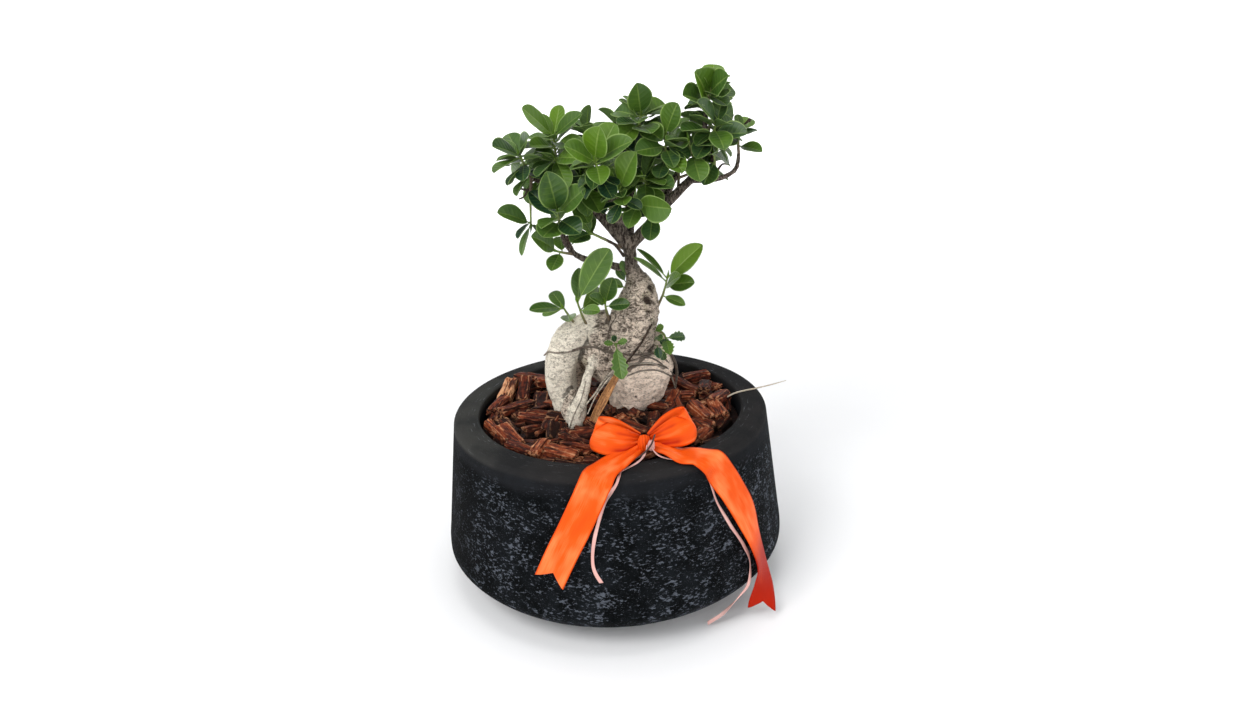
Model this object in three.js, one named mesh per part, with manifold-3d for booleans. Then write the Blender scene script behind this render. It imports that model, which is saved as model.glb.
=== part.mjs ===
// Ficus bonsai with swollen roots, standing in a wide round pot.
// Millimetres, +Z up, origin at the centre of the pot's foot, front of the plant towards -Y.

import * as THREE from 'three';
import { mergeVertices } from 'three/addons/utils/BufferGeometryUtils.js';
import Module from 'manifold-3d';

const wasm = await Module();
wasm.setup();

const TAU = Math.PI * 2;
const DEG = Math.PI / 180;
const GOLDEN_TURN = 137.5 * DEG;

// Driving dimensions
const GAP = 0.35; // clear space between pieces that rest on each other
const BEYOND = 400; // reaches past the whole plant on every side
const POT = {
  height: 170, rimOuter: 157, rimInner: 131.7, rimRound: 6, rimChamfer: 1.7, mouthChamfer: 2,
  belly: 173, bellyHeight: 37, bellyBand: 14, bandTaper: 1, foot: 124,
  underCurve: 1.35, underSpread: 1.6, underSteps: 4,
  floor: 22, innerFloor: 108, innerCorner: 60, sides: 36,
  drainRadius: 6, drainAt: 70, drains: 3, drainTurn: 0.5, drainSides: 10,
};
const SOIL = { top: 148, sides: 24 };
const PEG = { bottom: 112, sides: 8, taper: 0.75, overlap: 6 };
const BED = { thick: 6, radius: 129.5, sides: 20, mound: 8, bend: 0.55, sunk: 1.5 };
const HEAP = { x: 30, y: -104, height: 12, spread: 27 }; // chips heaped up under the bow
const CHIPS = {
  count: 70, seed: 4171, reach: 116, apart: 19, tries: 60, edge: 103, edgeTurn: 0.6,
  lift: [-1, 2.5], long: [20, 36], shrink: 0.4, wide: [10, 18], thick: [9, 13], tilt: 26, roll: 50,
};
const LEAF = {
  sunk: 1.6, thick: 1.1, petiole: 1.5, arch: 0.1, fold: 0.22,
  clear: 1.35, ownClear: 0.8, woodClear: 1, near: 0.62, woodStep: 2.5, samples: 4,
};
const RIBBON = { width: 28, thick: 1, notch: 9 };
const TIE = { width: 3.6, thick: 0.9 };
const BOW_REST = 171.8; // top of the chips that the knot lies on
const BOW_ROOM = { x: 30, y: -112, top: 260, radius: 60, sides: 12 };

// Small vector helpers
const vec = (p) => new THREE.Vector3(p[0], p[1], p[2]);
const UP = new THREE.Vector3(0, 0, 1);
const FRONT_LIGHT = new THREE.Vector3(0, -0.75, 0.65);
const within = ([low, high], share) => low + (high - low) * share;

function randomFrom(seed) {
  let state = seed >>> 0;
  return () => {
    state = (state + 0x6d2b79f5) >>> 0;
    let mixed = Math.imul(state ^ (state >>> 15), state | 1);
    mixed ^= mixed + Math.imul(mixed ^ (mixed >>> 7), mixed | 61);
    return ((mixed ^ (mixed >>> 14)) >>> 0) / 4294967296;
  };
}

// Point of a uniform Catmull-Rom curve through rows of numbers, at t from 0 to 1
function along(rows, t) {
  const spans = rows.length - 1;
  const place = Math.min(Math.max(t, 0), 1) * spans;
  const i = Math.min(Math.floor(place), spans - 1);
  const u = place - i;
  const a = rows[Math.max(i - 1, 0)];
  const b = rows[i];
  const c = rows[i + 1];
  const d = rows[Math.min(i + 2, spans)];
  return b.map((_, k) => 0.5 * (2 * b[k] + (c[k] - a[k]) * u
    + (2 * a[k] - 5 * b[k] + 4 * c[k] - d[k]) * u * u
    + (3 * b[k] - a[k] - 3 * c[k] + d[k]) * u * u * u));
}

function routeLength(rows, steps = 24) {
  let total = 0;
  for (let i = 0; i < steps; i += 1) {
    total += vec(along(rows, i / steps)).distanceTo(vec(along(rows, (i + 1) / steps)));
  }
  return total;
}

// Closed solid lofted through rings of points, with a fan at each end
function loft(rings) {
  const sides = rings[0].length;
  const points = rings.flat();
  const faces = [];
  for (let r = 0; r < rings.length - 1; r += 1) {
    for (let s = 0; s < sides; s += 1) {
      const a = r * sides + s;
      const b = r * sides + ((s + 1) % sides);
      faces.push(a, b, b + sides, a, b + sides, a + sides);
    }
  }
  const cap = (start, flip) => {
    for (let s = 1; s < sides - 1; s += 1) {
      faces.push(start, start + (flip ? s + 1 : s), start + (flip ? s : s + 1));
    }
  };
  cap(0, true);
  cap((rings.length - 1) * sides, false);
  return { points, faces };
}

function geometryOf({ points, faces }) {
  const geometry = new THREE.BufferGeometry();
  const flat = points.flatMap((p) => [p.x, p.y, p.z]);
  geometry.setAttribute('position', new THREE.Float32BufferAttribute(flat, 3));
  geometry.setIndex(faces);
  return geometry;
}

// A closed three.js geometry as a solid that can be joined and cut
function solid(geometry) {
  const bare = geometry.clone();
  bare.deleteAttribute('normal');
  bare.deleteAttribute('uv');
  const merged = mergeVertices(bare, 1e-5);
  const vertProperties = new Float32Array(merged.attributes.position.array);
  const triVerts = new Uint32Array(merged.index.array);
  let volume = 0;
  const corner = [new THREE.Vector3(), new THREE.Vector3(), new THREE.Vector3()];
  for (let i = 0; i < triVerts.length; i += 3) {
    corner.forEach((c, k) => c.fromArray(vertProperties, triVerts[i + k] * 3));
    volume += corner[0].dot(corner[1].cross(corner[2]));
  }
  if (volume < 0) {
    for (let i = 0; i < triVerts.length; i += 3) {
      [triVerts[i + 1], triVerts[i + 2]] = [triVerts[i + 2], triVerts[i + 1]];
    }
  }
  return new wasm.Manifold(new wasm.Mesh({ numProp: 3, vertProperties, triVerts }));
}

const loftSolid = (rings) => solid(geometryOf(loft(rings)));

const joined = (solids) => solids.reduce((whole, next) => whole.add(next));

// The largest body of a solid: scraps that a cut leaves loose are dropped
function largestBody(whole) {
  const bodies = whole.decompose();
  return bodies.reduce((best, body) => (body.volume() > best.volume() ? body : best));
}

function geometryFrom(manifold) {
  const mesh = manifold.getMesh();
  const geometry = new THREE.BufferGeometry();
  const flat = new Float32Array(mesh.numVert * 3);
  for (let i = 0; i < mesh.numVert; i += 1) {
    for (let k = 0; k < 3; k += 1) flat[i * 3 + k] = mesh.vertProperties[i * mesh.numProp + k];
  }
  geometry.setAttribute('position', new THREE.BufferAttribute(flat, 3));
  geometry.setIndex(Array.from(mesh.triVerts));
  geometry.computeVertexNormals();
  return geometry;
}

// Frames carried along a curve without twisting: centre, tangent and two cross directions
function framesOn(rows, count) {
  const frames = [];
  let normal = null;
  for (let i = 0; i < count; i += 1) {
    const t = i / (count - 1);
    const row = along(rows, t);
    const before = vec(along(rows, Math.max(t - 0.02, 0)));
    const after = vec(along(rows, Math.min(t + 0.02, 1)));
    const tangent = after.sub(before).normalize();
    if (normal === null) {
      const guide = Math.abs(tangent.y) < 0.9 ? new THREE.Vector3(0, 1, 0) : UP;
      normal = guide.clone().addScaledVector(tangent, -guide.dot(tangent)).normalize();
    } else {
      normal = normal.clone().addScaledVector(tangent, -normal.dot(tangent)).normalize();
    }
    frames.push({ row, centre: vec(row), tangent, normal, side: tangent.clone().cross(normal) });
  }
  return frames;
}

// Round limb with low lobes, through rows of [x, y, z, radius]
function limb(rows, sides, stations, lobes = 0.05, swell = 0) {
  const rings = framesOn(rows, stations).map(({ row, centre, normal, side }, i) => {
    const ring = [];
    for (let s = 0; s < sides; s += 1) {
      const angle = (s / sides) * TAU;
      const wave = Math.sin(3 * angle + 0.9 * i) + 0.6 * Math.sin(5 * angle - 1.3 * i);
      const radius = row[3] * (1 + lobes * wave) + swell;
      ring.push(centre.clone()
        .addScaledVector(normal, Math.cos(angle) * radius)
        .addScaledVector(side, Math.sin(angle) * radius));
    }
    return ring;
  });
  return loftSolid(rings);
}

// Upright straight-sided plug from one height to another
function upright(x, y, low, high, radiusLow, radiusHigh, sides) {
  const ringAt = (z, radius) => Array.from({ length: sides }, (_, s) => new THREE.Vector3(
    x + radius * Math.cos((s / sides) * TAU), y + radius * Math.sin((s / sides) * TAU), z));
  return loftSolid([ringAt(low, radiusLow), ringAt(high, radiusHigh)]);
}

// Pot: thick wall, flat rim with rounded edges, flared side, rounded undercut, drainage holes
function potProfile() {
  const { height, rimOuter, rimInner, rimRound, rimChamfer, mouthChamfer } = POT;
  const { belly, bellyHeight, foot } = POT;
  const profile = [[0, 0], [foot, 0]];
  for (let i = 1; i < POT.underSteps; i += 1) {
    const z = bellyHeight * (i / POT.underSteps) ** POT.underSpread;
    const drop = 1 - z / bellyHeight;
    const reach = (1 - drop ** POT.underCurve) ** (1 / POT.underCurve);
    profile.push([foot + (belly - foot) * reach, z]);
  }
  profile.push([belly, bellyHeight], [belly - POT.bandTaper, bellyHeight + POT.bellyBand]);
  profile.push([rimOuter, height - rimRound], [rimOuter - rimChamfer, height - rimChamfer]);
  profile.push([rimOuter - rimRound, height], [rimInner + mouthChamfer, height]);
  profile.push([rimInner, height - mouthChamfer]);
  profile.push([rimInner, POT.innerCorner], [POT.innerFloor, POT.floor], [0, POT.floor]);
  return profile.map(([r, z]) => new THREE.Vector2(r, z));
}

function turned(profile, sides) {
  const geometry = new THREE.LatheGeometry(profile, sides);
  geometry.rotateX(Math.PI / 2);
  return solid(geometry);
}

function makePot() {
  let pot = turned(potProfile(), POT.sides);
  for (let i = 0; i < POT.drains; i += 1) {
    const angle = (i / POT.drains) * TAU + POT.drainTurn;
    const x = POT.drainAt * Math.cos(angle);
    const y = POT.drainAt * Math.sin(angle);
    pot = pot.subtract(upright(x, y, -1, POT.floor + 1, POT.drainRadius, POT.drainRadius, POT.drainSides));
  }
  return pot;
}

// Trunk: swollen roots, trunk and branches, each through rows of [x, y, z, radius]
const ROOTS = {
  leg: [[2, 10, 252, 13], [-20, 6, 250, 15], [-38, 1, 237, 16.5], [-47, -1, 216, 16],
    [-49, -1, 193, 14.5], [-46, -3, 170, 12], [-44, -4, 146, 11]],
  strand: [[-12, -10, 224, 5], [-20, -19, 207, 5], [-26, -26, 191, 6.5], [-30, -32, 176, 7.3],
    [-31, -34, 162, 7.5], [-31, -34, 146, 8]],
  second_strand: [[-26, -12, 222, 4], [-36, -18, 204, 4.2], [-41, -24, 188, 4.6], [-42, -28, 172, 5],
    [-41, -30, 158, 5.5], [-41, -30, 146, 6]],
  lump: [[-9, 14, 250, 13], [-10, 8, 240, 17], [-8, 4, 224, 20], [-3, 4, 208, 17], [2, 8, 196, 10]],
  bulb: [[42, 20, 236, 12], [44, 18, 221, 20], [38, 14, 203, 27], [28, 11, 183, 27], [20, 10, 164, 22],
    [18, 10, 146, 17]],
  back_root: [[30, 18, 246, 12], [34, 34, 226, 12], [32, 44, 200, 11], [26, 50, 174, 10],
    [22, 52, 146, 10]],
  left_back_root: [[-16, 18, 244, 11], [-26, 30, 222, 11], [-30, 36, 196, 10], [-30, 38, 170, 9],
    [-30, 38, 146, 9]],
  torso: [[8, 10, 212, 24], [12, 10, 226, 27], [19, 8, 244, 28], [26, 7, 263, 26], [31, 6, 280, 21],
    [32, 5, 294, 15], [28, 4, 307, 10.3], [26, 3, 320, 8.4], [25, 2, 333, 8.4], [25, 2, 341, 6.5]],
  knob: [[40, -6, 276, 4], [44, -12, 274, 5], [46, -15, 272, 2.5]],
};
const BRANCHES = {
  left_up: [[24, 2, 330, 6], [10, 4, 348, 5.4], [-3, 6, 363, 4.8], [-16, 8, 380, 4.3],
    [-31, 8, 397, 3.4]],
  left_far: [[-14, 8, 378, 3.4], [-38, 3, 390, 3], [-52, -1, 394, 2.6], [-63, -6, 399, 2.2]],
  mid_up: [[24, 2, 336, 4.8], [17, 0, 354, 4.2], [11, -4, 373, 3.6], [6, -6, 395, 3], [4, -4, 414, 2.4]],
  mid_top: [[8, -5, 390, 2.8], [18, -2, 406, 2.6], [28, 0, 418, 2.4], [33, 0, 429, 2]],
  right_up: [[27, 2, 332, 6], [44, -2, 350, 5.3], [57, -4, 366, 4.7], [72, -6, 381, 4.2],
    [85, -6, 393, 4]],
  right_top: [[84, -6, 391, 3.7], [90, -8, 407, 3.2], [95, -8, 423, 2.7], [97, -10, 444, 2.3],
    [98, -10, 457, 1.8]],
  right_out: [[84, -6, 392, 3.6], [104, -4, 391, 2.9], [119, 0, 394, 2.3], [127, 2, 401, 1.9],
    [129, 4, 414, 1.4]],
  centre_up: [[50, -3, 357, 3.2], [56, -6, 380, 2.8], [58, -8, 392, 2.4], [59, -10, 404, 2]],
  low_left: [[20, 6, 306, 4.2], [1, 4, 315, 3.5], [-15, 0, 319, 3.2], [-27, -4, 327, 2.9],
    [-34, -8, 338, 2.6], [-38, -10, 353, 2.2]],
  front_twig: [[50, -2, 356, 3.2], [46, -10, 364, 2.7], [36, -20, 369, 2.5], [20, -32, 378, 2.2],
    [7, -36, 394, 2], [2, -36, 402, 1.7]],
  back_left: [[6, 5, 352, 4], [-12, 26, 372, 3.4], [-24, 40, 384, 2.8], [-34, 50, 394, 2.2]],
  back_mid: [[25, 4, 334, 5], [28, 26, 360, 4.2], [31, 44, 386, 3.2], [34, 56, 410, 2.2]],
  back_right: [[56, -2, 365, 4], [66, 16, 382, 3.3], [74, 30, 394, 2.6], [80, 40, 402, 2]],
};
// Thin aerial roots pressed against the swollen roots
const WRAPS = {
  band: [[-31, -12, 233, 1.5], [-13, -16, 235, 1.4], [0, -17, 230, 1.4], [14, -19, 229, 1.4],
    [33, -13, 225, 1.5], [54, -2, 219, 1.5], [64, 10, 200, 1.4]],
  cross: [[44, -10, 254, 1.6], [34, -19, 240, 1.5], [24, -18, 226, 1.5], [14, -16, 212, 1.4]],
  rootlet: [[8, -16, 212, 1.2], [-6, -25, 199, 1.1], [-20, -33, 186, 1.1], [-30, -38, 172, 1.1]],
};
// Root pegs down into the soil, [x, y, radius]
const PEGS = [[-45, -3, 9], [-31, -33, 5], [19, 10, 15], [22, 52, 8], [-30, 38, 7]];

// Stations and sides of the swollen roots; the other roots are thinner
const SWOLLEN = { torso: [11, 10], bulb: [7, 10], leg: [8, 10], lump: [5, 10] };
const THIN_ROOT = [5, 6];
const LOBES = { root: 0.045, torso: 0.035, branch: 0.03 };
const BRANCH_SIDES = 5;
const WRAP_SIDES = 4;

function makeTrunk(swell) {
  const parts = [];
  for (const [name, rows] of Object.entries(ROOTS)) {
    const [stations, sides] = SWOLLEN[name] ?? THIN_ROOT;
    parts.push(limb(rows, sides, stations, LOBES[name] ?? LOBES.root, swell));
  }
  for (const rows of Object.values(BRANCHES)) {
    parts.push(limb(rows, BRANCH_SIDES, rows.length, LOBES.branch, swell));
  }
  for (const rows of Object.values(WRAPS)) {
    parts.push(limb(rows, WRAP_SIDES, rows.length + 1, 0, swell));
  }
  const below = upright(0, 0, 0, SOIL.top + GAP - swell, BEYOND, BEYOND, 4);
  let trunk = joined(parts).subtract(below);
  if (swell === 0) {
    for (const [x, y, radius] of PEGS) {
      const high = SOIL.top + PEG.overlap;
      trunk = trunk.add(upright(x, y, PEG.bottom, high, radius * PEG.taper, radius, PEG.sides));
    }
  }
  return largestBody(trunk);
}

function makeSoil() {
  const profile = [[0, POT.floor + GAP], [POT.innerFloor - 1, POT.floor + GAP]];
  profile.push([POT.rimInner - GAP * 1.5, POT.innerCorner + 1], [POT.rimInner - GAP * 1.5, SOIL.top]);
  profile.push([0, SOIL.top]);
  let soil = turned(profile.map(([r, z]) => new THREE.Vector2(r, z)), SOIL.sides);
  for (const [x, y, radius] of PEGS) {
    const hole = radius + GAP * 1.2;
    soil = soil.subtract(upright(x, y, PEG.bottom - GAP, SOIL.top + 1, hole, hole, PEG.sides));
  }
  return soil;
}

// Bark mulch: chips lying on a low mound, every chip sunk into the bed below it
const bedAt = (r) => SOIL.top + GAP + BED.thick + BED.mound * (1 - (r / BED.radius) ** 2);

function heapAt(x, y) {
  return HEAP.height * Math.exp(-((x - HEAP.x) ** 2 + (y - HEAP.y) ** 2) / HEAP.spread ** 2);
}

function chipPlaces() {
  const random = randomFrom(CHIPS.seed);
  const places = [];
  for (let i = 0; i < CHIPS.count; i += 1) {
    let best = null;
    for (let k = 0; k < CHIPS.tries; k += 1) {
      const radius = CHIPS.reach * Math.sqrt(random());
      const angle = TAU * random();
      const x = radius * Math.cos(angle);
      const y = radius * Math.sin(angle);
      const near = places.reduce((d, p) => Math.min(d, Math.hypot(p.x - x, p.y - y)), BEYOND);
      if (best === null || near > best.near) best = { x, y, near };
      if (near > CHIPS.apart) break;
    }
    const rank = i / CHIPS.count;
    places.push({
      x: best.x,
      y: best.y,
      lift: within(CHIPS.lift, random()),
      long: within(CHIPS.long, random() * (1 - CHIPS.shrink * rank)),
      wide: within(CHIPS.wide, random()),
      thick: within(CHIPS.thick, random()),
      yaw: Math.hypot(best.x, best.y) > CHIPS.edge
        ? Math.atan2(best.y, best.x) + TAU / 4 + (random() - 0.5) * CHIPS.edgeTurn : TAU * random(),
      tilt: (random() - 0.5) * CHIPS.tilt * DEG,
      roll: (random() - 0.5) * CHIPS.roll * DEG,
      jitter: Array.from({ length: 8 }, () => random() - 0.5),
    });
  }
  return places;
}

// A chip is a split wedge of bark: flat underneath, with a ridge on top that is shorter than its foot
const WEDGE = { endJitter: 0.14, footJitter: 0.2, ridgeJitter: 0.6, ridgeLength: 0.88, ridgeHeight: 0.55 };

function chipSolid(chip) {
  const pose = new THREE.Euler(chip.roll, chip.tilt, chip.yaw, 'ZYX');
  const turn = new THREE.Matrix4().makeRotationFromEuler(pose);
  const heap = heapAt(chip.x, chip.y);
  const middle = bedAt(Math.hypot(chip.x, chip.y)) + 0.7 * heap + chip.lift;
  const centre = new THREE.Vector3(chip.x, chip.y, middle);
  const foot = -0.5 * chip.thick - 0.5 * heap;
  const rings = [-1, 1].map((end, e) => {
    const [a, b, c, d] = chip.jitter.slice(e * 4, e * 4 + 4);
    const long = end * chip.long * (0.5 + WEDGE.endJitter * a);
    return [
      [long, -chip.wide * (0.5 + WEDGE.footJitter * b), foot],
      [long, chip.wide * (0.5 + WEDGE.footJitter * c), foot],
      [long * WEDGE.ridgeLength, chip.wide * WEDGE.ridgeJitter * d, chip.thick * WEDGE.ridgeHeight],
    ].map((p) => vec(p).applyMatrix4(turn).add(centre));
  });
  return loftSolid(rings);
}

function makeMulch(keepClear) {
  const bend = BED.radius * BED.bend;
  const profile = [[0, SOIL.top + GAP], [BED.radius, SOIL.top + GAP]];
  for (const r of [BED.radius, bend, 0]) profile.push([r, bedAt(r) - BED.sunk]);
  let mulch = turned(profile.map(([r, z]) => new THREE.Vector2(r, z)), BED.sides);
  mulch = joined([mulch, ...chipPlaces().map(chipSolid)]);
  const under = upright(0, 0, 0, SOIL.top + GAP, BEYOND, BEYOND, 4);
  const { x, y, top, radius, sides } = BOW_ROOM;
  mulch = mulch.subtract(under).subtract(upright(x, y, BOW_REST, top, radius, radius, sides));
  for (const piece of keepClear) mulch = mulch.subtract(piece);
  return largestBody(mulch);
}

// Leaves: a petiole and a folded, arched blade. Rows give distance along and share of the half width.
const BLADE_ROWS = [[0.16, 0.14], [0.46, 0.94], [0.8, 0.84]];

function leafPoint(leaf, t, half) {
  const across = leaf.dir.clone().cross(leaf.face);
  const drop = LEAF.arch * leaf.length * t * t;
  return leaf.base.clone()
    .addScaledVector(leaf.dir, leaf.length * t)
    .addScaledVector(leaf.face, Math.abs(half) * LEAF.fold - drop)
    .addScaledVector(across, half);
}

function leafSolid(leaf) {
  const rings = BLADE_ROWS.map(([t, share]) => {
    const half = Math.max(leaf.width / 2 * share, LEAF.petiole / 2);
    const middle = leafPoint(leaf, t, 0);
    const thick = LEAF.thick / 2;
    return [leafPoint(leaf, t, half), middle.clone().addScaledVector(leaf.face, thick),
      leafPoint(leaf, t, -half), middle.clone().addScaledVector(leaf.face, -thick)];
  });
  const points = [leaf.base.clone(), ...rings.flat(), leafPoint(leaf, 1, 0)];
  const faces = [];
  for (let s = 0; s < 4; s += 1) {
    const next = (s + 1) % 4;
    faces.push(0, 1 + next, 1 + s);
    for (let r = 0; r < rings.length - 1; r += 1) {
      const a = 1 + r * 4 + s;
      const b = 1 + r * 4 + next;
      if (s < 2) faces.push(a, b, b + 4, a, b + 4, a + 4);
      else faces.push(a, b, a + 4, b, b + 4, a + 4);
    }
    const last = 1 + (rings.length - 1) * 4;
    faces.push(last + s, last + next, points.length - 1);
  }
  return solid(geometryOf({ points, faces }));
}

// The blade's middle surface as triangles, for keeping leaves apart
function bladeTriangles(leaf) {
  const rows = BLADE_ROWS.map(([t, share]) => [-1, 0, 1]
    .map((s) => leafPoint(leaf, t, s * leaf.width / 2 * share)));
  const tip = leafPoint(leaf, 1, 0);
  const triangles = [];
  for (let r = 0; r < rows.length - 1; r += 1) {
    for (let s = 0; s < 2; s += 1) {
      triangles.push([rows[r][s], rows[r][s + 1], rows[r + 1][s + 1]]);
      triangles.push([rows[r][s], rows[r + 1][s + 1], rows[r + 1][s]]);
    }
  }
  const last = rows[rows.length - 1];
  triangles.push([last[0], last[1], tip], [last[1], last[2], tip]);
  return triangles;
}

function samplesOf(triangles) {
  const points = [];
  for (const [a, b, c] of triangles) {
    for (let i = 0; i <= LEAF.samples; i += 1) {
      for (let j = 0; j <= LEAF.samples - i; j += 1) {
        const u = i / LEAF.samples;
        const v = j / LEAF.samples;
        points.push(new THREE.Vector3(0, 0, 0).addScaledVector(a, 1 - u - v)
          .addScaledVector(b, u).addScaledVector(c, v));
      }
    }
  }
  return points;
}

const nearest = new THREE.Vector3();

function pointsClear(points, triangles, clear) {
  for (const [a, b, c] of triangles) {
    const triangle = new THREE.Triangle(a, b, c);
    for (const point of points) {
      triangle.closestPointToPoint(point, nearest);
      if (nearest.distanceTo(point) < clear) return false;
    }
  }
  return true;
}

// Wood that leaves keep clear of: points along each stem's middle with their radius
function woodPoints(rows, owner) {
  const steps = Math.max(2, Math.ceil(routeLength(rows) / LEAF.woodStep));
  return Array.from({ length: steps + 1 }, (_, i) => {
    const row = along(rows, i / steps);
    return { point: vec(row), radius: row[3], owner };
  });
}

function headingVector(heading, pitch) {
  return new THREE.Vector3(Math.cos(heading * DEG) * Math.cos(pitch * DEG),
    Math.sin(heading * DEG) * Math.cos(pitch * DEG), Math.sin(pitch * DEG));
}

function squareTo(direction, guide) {
  return guide.clone().addScaledVector(direction, -guide.dot(direction)).normalize();
}

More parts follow.
